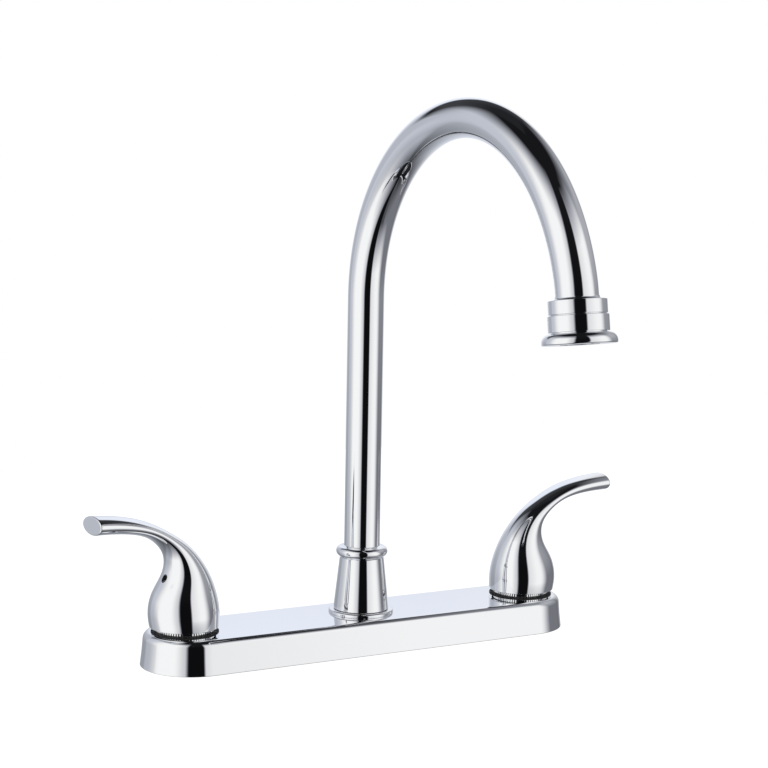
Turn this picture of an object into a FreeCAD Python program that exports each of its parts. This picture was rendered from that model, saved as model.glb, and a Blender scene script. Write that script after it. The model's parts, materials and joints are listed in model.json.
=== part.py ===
"""Two handle kitchen faucet: gooseneck spout on a deck cover with 8 inch centres.

Millimetres. The origin is the middle of the cover's foot, on the spout's swivel axis.
+Z is up, +X runs to the cold handle and -Y points to the user.
Both levers point outwards (closed; the hot one stands a few degrees open) and the spout
points at the user.
"""
import FreeCAD, Part
import math
import os
import Sketcher

SIZES = {
    # deck cover; this far in from its ends, the handle axes are 203.2 (8 inches) apart
    "cover_length": 248.0,
    "handle_to_cover_end": 22.4,
    "cover_width": 53.2,
    "cover_height": 17.3,
    "cover_wall": 1.5,
    "cover_flare": 1.35,
    "cover_draft": 3.5,
    "cover_foot_height": 0.4,
    "cover_edge_radius": 3.8,
    "gasket_thickness": 2.0,
    "gasket_gap": 0.3,
    # valve bodies and shanks
    "shank_radius": 10.45,
    "shank_bore_radius": 6.5,
    "shank_length": 48.0,
    "thread_pitch": 1.81,
    "thread_depth": 0.7,
    "thread_start": 3.0,
    "casting_radius": 14.0,
    "neck_radius": 11.5,
    "neck_height": 9.7,
    "cover_hole_gap": 0.3,
    "chamber_radius": 9.3,
    "chamber_floor": 6.0,
    # crossover tubes
    "crossover_radius": 4.0,
    "crossover_bore_radius": 3.2,
    "crossover_height": 10.2,
    "crossover_insert": 3.0,
    "solder_gap": 0.05,
    # valve cartridge
    "cartridge_gap": 0.1,
    "cartridge_wall": 0.7,
    "cartridge_skirt_lift": 0.4,
    "cartridge_roof": 17.0,
    "cartridge_flange_radius": 11.0,
    "cartridge_flange_height": 1.6,
    "cartridge_boss_radius": 7.4,
    "cartridge_boss_height": 1.4,
    "window_width": 8.0,
    "window_height": 2.4,
    "disc_gap": 0.1,
    "disc_thickness": 3.0,
    "disc_film": 0.05,
    "port_radius": 2.1,
    "port_offset": 4.4,
    "seal_height": 2.2,
    "seal_width": 1.4,
    # shared by shafts, screws and seals
    "running_gap": 0.06,
    "lead_chamfer": 0.8,
    "set_screw_radius": 2.0,
    "seal_squeeze_gap": 0.03,
    # stem
    "stem_radius": 5.5,
    "stem_flange_height": 2.4,
    "stem_shoulder": 32.0,
    "drive_radius": 4.0,
    "drive_top": 47.5,
    "drive_flat": 3.4,
    "drive_flat_length": 6.0,
    "stem_seal_section": 1.2,
    "stem_seal_groove_width": 1.6,
    "stem_seal_low": 19.0,
    "stem_seal_spacing": 3.6,
    "stem_seal_count": 2,
    "clip_radius": 6.6,
    "clip_groove_radius": 4.7,
    "clip_thickness": 0.9,
    "clip_gap": 0.1,
    "clip_slot": 5.0,
    # bonnet nut, cover washer and cover lock nut
    "thread_gap": 0.05,
    "cover_washer_radius": 17.3,
    "cover_washer_thickness": 0.4,
    "lock_nut_radius": 15.0,
    "lock_nut_height": 3.8,
    "serration_count": 72,
    "serration_depth": 0.35,
    "serration_width": 0.55,
    "bonnet_across_flats": 25.0,
    "bonnet_skirt": 5.0,
    "bonnet_roof": 1.7,
    "bonnet_bore_gap": 0.2,
    # handle
    "handle_foot": 20.1,
    "handle_cavity_radius": 15.9,
    "handle_cavity_roof": 31.4,
    "handle_step_radius": 7.6,
    "handle_step_roof": 32.5,
    "socket_gap": 0.05,
    "socket_top": 48.2,
    "handle_foot_round": 0.3,
    "oval_joint_angle": 60.0,
    "hot_lever_turn": 8.8,
    # handle sections from the foot to the tip: distance out, height, lean, thickness, width
    "foot_out": 0.3, "foot_lean": 0.0, "foot_thick": 35.6, "foot_wide": 35.6,
    "bell_out": 0.8, "bell_up": 27.0, "bell_lean": 0.0, "bell_thick": 36.5, "bell_wide": 36.2,
    "belly_out": 0.6, "belly_up": 35.6, "belly_lean": -2.0, "belly_thick": 34.0,
    "belly_wide": 33.0,
    "waist_out": 0.4, "waist_up": 44.0, "waist_lean": 4.0, "waist_thick": 27.2,
    "waist_wide": 27.0,
    "throat_out": 2.0, "throat_up": 52.0, "throat_lean": 19.0, "throat_thick": 19.2,
    "throat_wide": 21.8,
    "crook_out": 6.1, "crook_up": 60.0, "crook_lean": 38.0, "crook_thick": 12.2,
    "crook_wide": 18.7,
    "rise_out": 12.1, "rise_up": 65.8, "rise_lean": 52.5, "rise_thick": 8.7, "rise_wide": 18.0,
    "sweep_out": 19.3, "sweep_up": 70.4, "sweep_lean": 63.0, "sweep_thick": 7.5,
    "sweep_wide": 17.8,
    "reach_out": 27.0, "reach_up": 73.5, "reach_lean": 72.5, "reach_thick": 7.7,
    "reach_wide": 17.9,
    "blade_out": 35.2, "blade_up": 75.4, "blade_lean": 80.0, "blade_thick": 8.3,
    "blade_wide": 18.1,
    "flat_out": 44.4, "flat_up": 76.6, "flat_lean": 85.0, "flat_thick": 8.9, "flat_wide": 18.3,
    "tip_out": 53.4, "tip_up": 77.2, "tip_lean": 88.0, "tip_thick": 9.4, "tip_wide": 18.5,
    # handle set screw
    "handle_screw_length": 6.0,
    "handle_screw_height": 46.0,
    "hex_key_radius": 1.1,
    "hex_key_depth": 2.2,
    "screw_tip_gap": 0.05,
    # spout post
    "post_radius": 10.0,
    "post_bore_radius": 7.0,
    "post_top": 42.3,
    "post_groove_low": 22.4,
    "post_groove_width": 4.8,
    "post_groove_depth": 1.2,
    "spout_seal_section": 1.6,
    "spout_seal_groove_width": 2.2,
    "spout_seal_low": 30.0,
    "spout_seal_spacing": 7.0,
    "spout_seal_count": 2,
    "screw_groove_gap": 0.3,
    # spout base ring, glide washer and hub
    "base_ring_foot_radius": 17.0,
    "base_ring_radius": 17.35,
    "base_ring_bevel": 0.35,
    "base_ring_height": 1.85,
    "base_ring_edge": 1.2,
    "glide_radius": 13.8,
    "glide_thickness": 0.65,
    "glide_recess": 0.5,
    "glide_gap": 0.05,
    "hub_foot_radius": 14.7,
    "hub_neck_radius": 11.7,
    "hub_cone_height": 27.65,
    "bead_radius": 13.7,
    "bead_height": 6.4,
    "bead_round": 2.6,
    "hub_ledge_gap": 0.5,
    "hub_ledge": 1.2,
    # spout tube
    "tube_radius": 9.5,
    "tube_bore_radius": 8.3,
    "riser_top": 184.9,
    "first_bend_radius": 88.5,
    "first_bend_angle": 36.0,
    "main_bend_radius": 97.2,
    "main_bend_end": 164.0,
    "last_bend_radius": 55.0,
    "outlet_tilt": 8.5,
    "tube_end_straight": 2.1,
    "tube_insert": 4.6,
    # spout collar and aerator
    "collar_radius": 13.0,
    "collar_height": 6.2,
    "collar_edge": 0.3,
    "collar_neck_height": 1.6,
    "collar_neck_reach": 1.2,
    "collar_neck_wall": 0.2,
    "nipple_radius": 11.0,
    "nipple_length": 6.0,
    "parting_gap": 0.4,
    "parting_depth": 0.5,
    "aerator_ring_radius": 13.5,
    "aerator_ring_height": 7.3,
    "aerator_waist_radius": 12.2,
    "aerator_waist_height": 0.5,
    "bell_lip_radius": 16.7,
    "bell_lip_height": 4.95,
    "bell_skirt": 1.2,
    "bell_edge": 0.7,
    "aerator_bore_radius": 9.6,
    "aerator_lip_radius": 8.8,
    "aerator_lip_height": 0.8,
    "washer_thickness": 1.5,
    "washer_bore_radius": 8.0,
    "insert_flange_height": 1.2,
    "insert_body_radius": 9.3,
    "insert_height": 3.4,
    "insert_hole_radius": 1.1,
    "insert_hole_circle": 6.4,
    "insert_hole_count": 12,
    "screen_thickness": 0.6,
    "screen_hole_radius": 0.8,
    "screen_ring_pitch": 2.3,
    "screen_ring_count": 3,
    "screen_holes_per_step": 6,
    # clamping hardware under the sink deck
    "sink_deck_space": 12.0,
    "shank_washer_radius": 18.0,
    "shank_washer_thickness": 2.0,
    "nut_gap": 0.15,
    "nut_flange_radius": 17.0,
    "nut_flange_height": 2.5,
    "nut_hub_radius": 14.0,
    "nut_height": 12.0,
    "wing_reach": 8.0,
    "wing_width": 4.0,
    "wing_root_depth": 1.4,
    "wing_count": 4,
}

CUT_PAST = 1.2  # a groove's outline runs past the surface it cuts by this share
NOTCH_PAST = 1.02  # and a serration's notch by this one

HANDLE_SECTIONS = ("foot", "bell", "belly", "waist", "throat", "crook", "rise", "sweep", "reach",
                   "blade", "flat", "tip")
SIDES = {"hot": -1, "cold": 1}


class Size:
    """A number together with the spreadsheet formula that gives it."""

    def __init__(self, value, formula):
        self.value = value
        self.formula = formula

    @staticmethod
    def of(item):
        if isinstance(item, Size):
            return item
        return Size(float(item), repr(float(item)))

    def __add__(self, other):
        other = Size.of(other)
        return Size(self.value + other.value, f"({self.formula} + {other.formula})")

    def __sub__(self, other):
        other = Size.of(other)
        return Size(self.value - other.value, f"({self.formula} - {other.formula})")

    def __mul__(self, other):
        other = Size.of(other)
        return Size(self.value * other.value, f"({self.formula} * {other.formula})")

    def __truediv__(self, other):
        other = Size.of(other)
        return Size(self.value / other.value, f"({self.formula} / {other.formula})")

    def __neg__(self):
        return Size(-self.value, f"(0 - {self.formula})")

    def __radd__(self, other):
        return Size.of(other) + self

    def __rsub__(self, other):
        return Size.of(other) - self

    def __rmul__(self, other):
        return Size.of(other) * self


def sine(angle):
    angle = Size.of(angle)
    return Size(math.sin(math.radians(angle.value)), f"sin({angle.formula})")


def cosine(angle):
    angle = Size.of(angle)
    return Size(math.cos(math.radians(angle.value)), f"cos({angle.formula})")


doc = FreeCAD.newDocument("faucet")
sheet = doc.addObject("Spreadsheet::Sheet", "Sizes")
size = {}
for row, (alias, number) in enumerate(SIZES.items(), start=1):
    sheet.set(f"A{row}", alias)
    sheet.set(f"B{row}", str(number))
    sheet.setAlias(f"B{row}", alias)
    size[alias] = Size(float(number), f"Sizes.{alias}")
doc.recompute()


# ---------------------------------------------------------------- sketching

def bind(feature, path, item):
    """Tie one property of a feature to a formula of sheet sizes."""
    feature.setExpression(path, Size.of(item).formula)


def new_body(name):
    body = doc.addObject("PartDesign::Body", name)
    body.Label = name
    return body


def stand_at(body, x=0, z=0, turn=0):
    """Place a body on an axis parallel to Z, turned about that axis."""
    position = FreeCAD.Vector(Size.of(x).value, 0, Size.of(z).value)
    rotation = FreeCAD.Rotation(FreeCAD.Vector(0, 0, 1), Size.of(turn).value)
    body.Placement = FreeCAD.Placement(position, rotation)
    bind(body, "Placement.Base.x", x)
    bind(body, "Placement.Base.z", z)
    if isinstance(turn, Size):
        bind(body, "Placement.Rotation.Angle", turn)
    return body


def plane_of(body, role):
    return next(item for item in body.Origin.OriginFeatures if item.Role == role)


def new_sketch(body, name, role, offset=(0, 0, 0), turn=0, axis=(0, 0, 1)):
    """Sketch on one of the body's own planes; offset is along the sketch's own axes."""
    sketch = body.newObject("Sketcher::SketchObject", name)
    sketch.AttachmentSupport = [(plane_of(body, role), "")]
    sketch.MapMode = "FlatFace"
    numbers = [Size.of(item).value for item in offset]
    rotation = FreeCAD.Rotation(FreeCAD.Vector(*axis), Size.of(turn).value)
    sketch.AttachmentOffset = FreeCAD.Placement(FreeCAD.Vector(*numbers), rotation)
    for letter, item in zip("xyz", offset):
        bind(sketch, f"AttachmentOffset.Base.{letter}", item)
    return sketch


def arc_between(start, end, radius, side):
    """Arc under a half circle; side +1 bulges to the right of the way from start to end."""
    middle = (start + end) * 0.5
    chord = end - start
    left = FreeCAD.Vector(-chord.y, chord.x, 0).normalize()
    height = math.sqrt(max(radius ** 2 - (chord.Length / 2) ** 2, 0))
    centre = middle + left * height * side
    first, last = (start, end) if side > 0 else (end, start)
    angles = [math.atan2(point.y - centre.y, point.x - centre.x) for point in (first, last)]
    circle = Part.Circle(centre, FreeCAD.Vector(0, 0, 1), radius)
    return Part.ArcOfCircle(circle, *angles)


def fix_point(sketch, item, point, x, y):
    """Hold one point of a sketch at a place given by sizes."""
    for kind, axis, value in (("DistanceX", -2, Size.of(x)), ("DistanceY", -1, Size.of(y))):
        if value.value == 0 and "Sizes" not in value.formula:
            sketch.addConstraint(Sketcher.Constraint("PointOnObject", item, point, axis))
            continue
        index = sketch.addConstraint(
            Sketcher.Constraint(kind, -1, 1, item, point, value.value))
        bind(sketch, f"Constraints[{index}]", value)


def draw(sketch, corners, closed=True):
    """Outline through corners (x, y) or, where an arc arrives, (x, y, radius, side)."""
    points = [FreeCAD.Vector(Size.of(c[0]).value, Size.of(c[1]).value, 0) for c in corners]
    count = len(corners)
    spans = range(count if closed else count - 1)
    ends = []
    for index in spans:
        after = (index + 1) % count
        corner = corners[after]
        if len(corner) == 2:
            item = sketch.addGeometry(Part.LineSegment(points[index], points[after]), False)
            ends.append((item, 1, 2))
            continue
        radius, side = Size.of(corner[2]), corner[3]
        arc = arc_between(points[index], points[after], radius.value, side)
        item = sketch.addGeometry(arc, False)
        ends.append((item, 1, 2) if side > 0 else (item, 2, 1))
        held = sketch.addConstraint(Sketcher.Constraint("Radius", item, radius.value))
        bind(sketch, f"Constraints[{held}]", radius)
    for index in spans:
        item, first, _ = ends[index]
        fix_point(sketch, item, first, corners[index][0], corners[index][1])
        if index + 1 < len(ends) or closed:
            other, start, _ = ends[(index + 1) % len(ends)]
            sketch.addConstraint(Sketcher.Constraint("Coincident", item, ends[index][2],
                                                     other, start))
    if not closed:
        item, _, last = ends[-1]
        fix_point(sketch, item, last, corners[-1][0], corners[-1][1])
    return sketch


def draw_circle(sketch, x, y, radius):
    centre = FreeCAD.Vector(Size.of(x).value, Size.of(y).value, 0)
    circle = Part.Circle(centre, FreeCAD.Vector(0, 0, 1), Size.of(radius).value)
    item = sketch.addGeometry(circle, False)
    index = sketch.addConstraint(Sketcher.Constraint("Radius", item, Size.of(radius).value))
    bind(sketch, f"Constraints[{index}]", radius)
    fix_point(sketch, item, 3, x, y)
    return sketch


def draw_oval(sketch, half_x, half_y):
    """Four-centre oval: caps on y and flatter flanks on x that meet smoothly."""
    joint = size["oval_joint_angle"]
    across, along = sine(joint), cosine(joint)
    share = across + along - 1
    cap = (half_x * along - half_y * (1 - across)) / share
    flank = (half_y * across - half_x * (1 - along)) / share
    x = cap * across
    y = flank * along
    return draw(sketch, [(x, -y, cap, 1), (x, y, flank, 1), (-x, y, cap, 1),
                         (-x, -y, flank, 1)])


def draw_box(sketch, x0, x1, y0, y1):
    return draw(sketch, [(x0, y0), (x1, y0), (x1, y1), (x0, y1)])


# ---------------------------------------------------------------- features

def pad(body, name, sketch, length, midplane=False):
    feature = body.newObject("PartDesign::Pad", name)
    feature.Profile = sketch
    feature.Midplane = midplane
    bind(feature, "Length", length)
    return feature


def pocket(body, name, sketch, length, reverse=False, midplane=False):
    feature = body.newObject("PartDesign::Pocket", name)
    feature.Profile = sketch
    feature.Midplane = midplane
    feature.Reversed = reverse
    bind(feature, "Length", length)
    return feature


def spin(body, name, sketch, kind="Revolution", angle=360, midplane=False):
    """Turn a sketch about its own upright axis, adding (Revolution) or cutting (Groove)."""
    feature = body.newObject(f"PartDesign::{kind}", name)
    feature.Profile = sketch
    feature.ReferenceAxis = (sketch, ["V_Axis"])
    feature.Angle = angle
    feature.Midplane = midplane
    return feature


def turned(name, corners):
    """Body turned about Z from an outline of (radius, height) corners."""
    body = new_body(name)
    sketch = draw(new_sketch(body, f"{name}_outline", "XZ_Plane"), corners)
    spin(body, f"{name}_turned", sketch)
    return body


def turned_cut(body, name, corners):
    sketch = draw(new_sketch(body, f"{name}_outline", "XZ_Plane"), corners)
    return spin(body, name, sketch, "Groove")


def ring(name, inner, outer, low, high):
    return turned(name, [(inner, low), (outer, low), (outer, high), (inner, high)])


def ring_of_copies(body, name, feature, count):
    """Repeat a feature evenly round the body's own Z axis."""
    doc.recompute()
    pattern = body.newObject("PartDesign::PolarPattern", name)
    pattern.Originals = [feature]
    pattern.Axis = (plane_of(body, "Z_Axis"), [""])
    pattern.Angle = 360
    bind(pattern, "Occurrences", count)
    body.Tip = pattern
    return pattern


def row_of_copies(body, name, feature, pitch, count):
    """Repeat a feature upwards along the body's own Z axis."""
    doc.recompute()
    pattern = body.newObject("PartDesign::LinearPattern", name)
    pattern.Originals = [feature]
    pattern.Direction = (plane_of(body, "Z_Axis"), [""])
    bind(pattern, "Length", pitch * (count - 1))
    bind(pattern, "Occurrences", count)
    body.Tip = pattern
    return pattern


# ---------------------------------------------------------------- shared heights and places

handle_x = size["cover_length"] / 2 - size["handle_to_cover_end"]
cover_top = size["cover_height"]
cover_underside = cover_top - size["cover_wall"]
lock_nut_low = cover_top + size["cover_washer_thickness"]
shank_foot = -size["shank_length"]
neck_top = cover_top + size["neck_height"]
cover_end_centre = size["cover_length"] / 2 - size["cover_width"] / 2
cover_half_width = size["cover_width"] / 2 - size["cover_flare"]
cartridge_radius = size["chamber_radius"] - size["cartridge_gap"]
cartridge_bore = cartridge_radius - size["cartridge_wall"]
disc_radius = cartridge_bore - size["disc_gap"]
fixed_disc_low = size["chamber_floor"] + size["seal_height"]
moving_disc_low = fixed_disc_low + size["disc_thickness"] + size["disc_film"]
stem_low = moving_disc_low + size["disc_thickness"]
stem_bore = size["stem_radius"] + size["running_gap"]
flange_top = neck_top + size["cartridge_flange_height"]
boss_top = flange_top + size["cartridge_boss_height"]
clip_low = boss_top + size["clip_gap"]
post_groove_radius = size["post_radius"] - size["post_groove_depth"]
hub_bore = size["post_radius"] + size["running_gap"]
base_ring_top = cover_top + size["base_ring_height"]
glide_low = base_ring_top - size["glide_recess"]
hub_foot = glide_low + size["glide_thickness"] + size["glide_gap"]
hub_ledge_low = size["post_top"] + size["hub_ledge_gap"]
tube_foot = hub_ledge_low + size["hub_ledge"]
bead_low = hub_foot + size["hub_cone_height"]
bead_top = bead_low + size["bead_height"]
tube_socket = size["tube_radius"] + size["solder_gap"]


# ---------------------------------------------------------------- deck cover and gasket

def cover_half_outline():
    """Section of the cover's wall, from the middle line outwards."""
    half = cover_half_width
    edge = size["cover_edge_radius"]
    inner_edge = edge - size["cover_wall"]
    inside = half - size["cover_wall"]
    flare = size["cover_flare"]
    lean, plumb = sine(size["cover_draft"]), cosine(size["cover_draft"])
    brow = cover_top - edge + edge * lean
    rise = brow - size["cover_foot_height"]
    flare_radius = (flare * flare + rise * rise) / (2 * (flare * plumb - rise * lean))
    return [
        (0, cover_underside),
        (inside - inner_edge, cover_underside),
        (inside, cover_underside - inner_edge, inner_edge, -1),
        (inside, 0),
        (half + flare, 0),
        (half + flare, size["cover_foot_height"]),
        (half, brow, flare_radius, -1),
        (half - edge * plumb, cover_top, edge, 1),
        (0, cover_top),
    ]


def mirrored(corners):
    """The other half of an outline whose ends lie on the middle line, run backwards."""
    flipped = []
    for index in range(len(corners) - 2, 0, -1):
        x, y = corners[index][0], corners[index][1]
        arrival = corners[index + 1]
        flipped.append((-x, y) if len(arrival) == 2 else (-x, y, arrival[2], arrival[3]))
    return flipped


def deck_cover():
    body = new_body("deck_cover")
    half = cover_half_outline()
    left = mirrored(half)
    section = draw(new_sketch(body, "cover_section", "YZ_Plane"), half[1:-1] + left)
    pad(body, "cover_middle", section, cover_end_centre * 2, midplane=True)
    for side, turn in (("right", 0), ("left", 180)):
        place = cover_end_centre if side == "right" else -cover_end_centre
        end = new_sketch(body, f"cover_{side}_section", "XZ_Plane", (place, 0, 0), turn,
                         (0, 1, 0))
        spin(body, f"cover_{side}_end", draw(end, half), angle=180, midplane=True)
    holes = new_sketch(body, "cover_holes", "XY_Plane")
    for x, radius in ((-handle_x, size["neck_radius"]), (0, size["post_radius"]),
                      (handle_x, size["neck_radius"])):
        draw_circle(holes, x, 0, radius + size["cover_hole_gap"])
    pocket(body, "cover_hole_cut", holes, cover_top * 2, reverse=True)
    return body


def stadium(sketch, centre, radius):
    """Outline of two half circles joined by straight sides, each half circle two arcs."""
    draw(sketch, [
        (centre, -radius),
        (centre + radius, 0, radius, 1),
        (centre, radius, radius, 1),
        (-centre, radius),
        (-centre - radius, 0, radius, 1),
        (-centre, -radius, radius, 1),
    ])
    return sketch


def deck_gasket():
    body = new_body("deck_gasket")
    edge = cover_half_width - size["cover_wall"] - size["gasket_gap"]
    plate = stadium(new_sketch(body, "gasket_edge", "XY_Plane"), cover_end_centre, edge)
    pad(body, "gasket_plate", plate, size["gasket_thickness"])
    holes = new_sketch(body, "gasket_holes", "XY_Plane")
    for x in (-handle_x, handle_x):
        draw_circle(holes, x, 0, size["shank_radius"] + size["gasket_gap"])
    pocket(body, "gasket_hole_cut", holes, size["gasket_thickness"] * 2, reverse=True)
    return body


# ---------------------------------------------------------------- waterway castings

def side_port(body, name, reverse):
    """Socket for a crossover tube, cut from the axis along the body's own X."""
    sketch = new_sketch(body, f"{name}_circle", "YZ_Plane")
    draw_circle(sketch, 0, size["crossover_height"], size["crossover_radius"]
                + size["solder_gap"])
    return pocket(body, name, sketch, size["casting_radius"] * 2, reverse=reverse)


def valve_body(label):
    casting = size["casting_radius"]
    body = turned(f"{label}_valve_body", [
        (size["shank_bore_radius"], shank_foot),
        (size["shank_radius"] - size["thread_depth"], shank_foot),
        (size["shank_radius"], shank_foot + size["thread_depth"]),
        (size["shank_radius"], size["gasket_thickness"]),
        (casting, size["gasket_thickness"]),
        (casting, cover_underside),
        (size["neck_radius"], cover_underside),
        (size["neck_radius"], neck_top),
        (size["chamber_radius"], neck_top),
        (size["chamber_radius"], size["chamber_floor"]),
        (size["shank_bore_radius"], size["chamber_floor"]),
    ])
    side_port(body, f"{label}_port", reverse=False)
    root = size["shank_radius"] - size["thread_depth"]
    flank = size["thread_pitch"] / 4
    middle = shank_foot + size["thread_start"]
    crest = size["shank_radius"] + size["thread_depth"]
    thread = turned_cut(body, f"{label}_thread", [
        (root, middle), (crest, middle - flank * 2), (crest, middle + flank * 2)])
    threaded = size["shank_length"] - size["thread_start"] * 2
    count = math.floor(threaded.value / size["thread_pitch"].value)
    row_of_copies(body, f"{label}_thread_row", thread, size["thread_pitch"], Size.of(count))
    return body


def spout_post():
    casting = size["casting_radius"]
    outer = size["post_radius"]
    chamfer = size["lead_chamfer"]
    body = turned("spout_post", [
        (0, size["gasket_thickness"]),
        (casting, size["gasket_thickness"]),
        (casting, cover_underside),
        (outer, cover_underside),
        (outer, size["post_top"] - chamfer),
        (outer - chamfer, size["post_top"]),
        (size["post_bore_radius"], size["post_top"]),
        (size["post_bore_radius"], size["crossover_height"] - size["crossover_radius"]),
        (0, size["crossover_height"] - size["crossover_radius"]),
    ])
    side_port(body, "post_hot_port", reverse=False)
    side_port(body, "post_cold_port", reverse=True)
    low = size["post_groove_low"]
    turned_cut(body, "post_screw_groove", [
        (post_groove_radius, low),
        (outer * CUT_PAST, low),
        (outer * CUT_PAST, low + size["post_groove_width"]),
        (post_groove_radius, low + size["post_groove_width"]),
    ])
    seal_root = hub_bore - size["seal_squeeze_gap"] - size["spout_seal_section"] \
        - size["seal_squeeze_gap"]
    first = size["spout_seal_low"]
    seal_groove = turned_cut(body, "post_seal_groove", [
        (seal_root, first),
        (outer * CUT_PAST, first),
        (outer * CUT_PAST, first + size["spout_seal_groove_width"]),
        (seal_root, first + size["spout_seal_groove_width"]),
    ])
    row_of_copies(body, "post_seal_grooves", seal_groove, size["spout_seal_spacing"],
                  size["spout_seal_count"])
    return body


def crossover_tube(label, side):
    """Straight tube between the valve body's socket and the post's socket."""
    body = new_body(f"{label}_crossover_tube")
    reach = size["casting_radius"] - size["crossover_insert"]
    near = reach if side > 0 else -(handle_x - reach)
    sketch = new_sketch(body, f"{label}_crossover_section", "YZ_Plane", (0, 0, near))
    draw_circle(sketch, 0, size["crossover_height"], size["crossover_radius"])
    draw_circle(sketch, 0, size["crossover_height"], size["crossover_bore_radius"])
    pad(body, f"{label}_crossover_pad", sketch, handle_x - reach * 2)
    return body


# ---------------------------------------------------------------- valve cartridge

def seat_seal(label):
    outer = disc_radius
    return ring(f"{label}_seat_seal", outer - size["seal_width"], outer,
                size["chamber_floor"], fixed_disc_low)


def ceramic_disc(name, low, port_axis):
    """Disc with two ports; the ports of the two discs line up when the valve is open."""
    body = ring(name, 0, disc_radius, low, low + size["disc_thickness"])
    ports = new_sketch(body, f"{name}_ports", "XY_Plane", (0, 0, low))
    for offset in (size["port_offset"], -size["port_offset"]):
        place = (offset, 0) if port_axis == "x" else (0, offset)
        draw_circle(ports, *place, size["port_radius"])
    pocket(body, f"{name}_port_cut", ports, size["disc_thickness"], reverse=True)
    return body


def cartridge_housing(label):
    body = turned(f"{label}_cartridge_housing", [
        (cartridge_bore, size["chamber_floor"] + size["cartridge_skirt_lift"]),
        (cartridge_radius, size["chamber_floor"] + size["cartridge_skirt_lift"]),
        (cartridge_radius, neck_top),
        (size["cartridge_flange_radius"], neck_top),
        (size["cartridge_flange_radius"], flange_top),
        (size["cartridge_boss_radius"], flange_top),
        (size["cartridge_boss_radius"], boss_top),
        (stem_bore, boss_top),
        (stem_bore, size["cartridge_roof"]),
        (cartridge_bore, size["cartridge_roof"]),
    ])
    window = new_sketch(body, f"{label}_window", "YZ_Plane")
    half = size["window_width"] / 2
    low = moving_disc_low
    draw_box(window, -half, half, low, low + size["window_height"])
    pocket(body, f"{label}_window_cut", window, size["casting_radius"] * 2, midplane=True)
    return body


def stem(label):
    shaft = size["stem_radius"]
    drive = size["drive_radius"]
    bevel = size["lead_chamfer"]
    clip_root = size["clip_groove_radius"]
    clip_high = clip_low + size["clip_thickness"]
    body = turned(f"{label}_stem", [
        (0, stem_low),
        (disc_radius, stem_low),
        (disc_radius, stem_low + size["stem_flange_height"]),
        (shaft, stem_low + size["stem_flange_height"]),
        (shaft, clip_low),
        (clip_root, clip_low),
        (clip_root, clip_high),
        (shaft, clip_high),
        (shaft, size["stem_shoulder"]),
        (drive, size["stem_shoulder"]),
        (drive, size["drive_top"] - bevel),
        (drive - bevel, size["drive_top"]),
        (0, size["drive_top"]),
    ])
    root = stem_bore - size["seal_squeeze_gap"] * 2 - size["stem_seal_section"]
    low = size["stem_seal_low"]
    groove = turned_cut(body, f"{label}_stem_groove", [
        (root, low),
        (shaft * CUT_PAST, low),
        (shaft * CUT_PAST, low + size["stem_seal_groove_width"]),
        (root, low + size["stem_seal_groove_width"]),
    ])
    row_of_copies(body, f"{label}_stem_grooves", groove, size["stem_seal_spacing"],
                  size["stem_seal_count"])
    flat = new_sketch(body, f"{label}_stem_flat", "XY_Plane", (0, 0, size["drive_top"]))
    draw_box(flat, size["drive_flat"], drive * 2, -drive, drive)
    pocket(body, f"{label}_stem_flat_cut", flat, size["drive_flat_length"])
    return body


def o_rings(name, centre_radius, section, low, groove_width, spacing, count):
    """Round section rings, one in each groove, as one group of separate solids."""
    places = []
    for index in range(int(round(count.value))):
        torus = doc.addObject("Part::Torus", f"{name}_{index + 1}")
        bind(torus, "Radius1", centre_radius)
        bind(torus, "Radius2", section / 2)
        height = low + groove_width / 2 + spacing * index
        torus.Placement.Base.z = height.value
        bind(torus, "Placement.Base.z", height)
        places.append(torus)
    group = doc.addObject("Part::Compound", name)
    group.Links = places
    group.Label = name
    return group


def stem_seals(label):
    outer = stem_bore - size["seal_squeeze_gap"]
    section = size["stem_seal_section"]
    return o_rings(f"{label}_stem_seals", outer - section / 2, section, size["stem_seal_low"],
                   size["stem_seal_groove_width"], size["stem_seal_spacing"],
                   size["stem_seal_count"])


def spout_seals():
    outer = hub_bore - size["seal_squeeze_gap"]
    section = size["spout_seal_section"]
    return o_rings("spout_seals", outer - section / 2, section, size["spout_seal_low"],
                   size["spout_seal_groove_width"], size["spout_seal_spacing"],
                   size["spout_seal_count"])


def stem_clip(label):
    """Open ring that snaps into the stem's groove above the cartridge."""
    inner = size["clip_groove_radius"] + size["solder_gap"]
    outer = size["clip_radius"]
    high = clip_low + size["clip_thickness"]
    body = ring(f"{label}_stem_clip", inner, outer, clip_low, high)
    slot = new_sketch(body, f"{label}_clip_slot", "XY_Plane", (0, 0, clip_low))
    half = size["clip_slot"] / 2
    draw_box(slot, -half, half, 0, outer * 2)
    pocket(body, f"{label}_clip_slot_cut", slot, size["clip_thickness"], reverse=True)
    return body


def bonnet_nut(label):
    """Hexagon nut that holds the cartridge's flange down on the valve body's neck."""
    inner = size["neck_radius"] + size["thread_gap"]
    seat = flange_top + size["thread_gap"]
    low = neck_top - size["bonnet_skirt"]
    top = seat + size["bonnet_roof"]
    bore = size["cartridge_boss_radius"] + size["bonnet_bore_gap"]
    body = new_body(f"{label}_bonnet_nut")
    hexagon = new_sketch(body, f"{label}_bonnet_hexagon", "XY_Plane", (0, 0, low))
    corner = size["bonnet_across_flats"] / 2 / cosine(30)
    draw(hexagon, [(corner * cosine(60 * step), corner * sine(60 * step)) if step % 3
                   else (corner * (1 if step == 0 else -1), 0) for step in range(6)])
    pad(body, f"{label}_bonnet_pad", hexagon, top - low)
    turned_cut(body, f"{label}_bonnet_bore", [
        (0, low), (inner, low), (inner, seat), (bore, seat), (bore, top), (0, top)])
    return body


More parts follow.
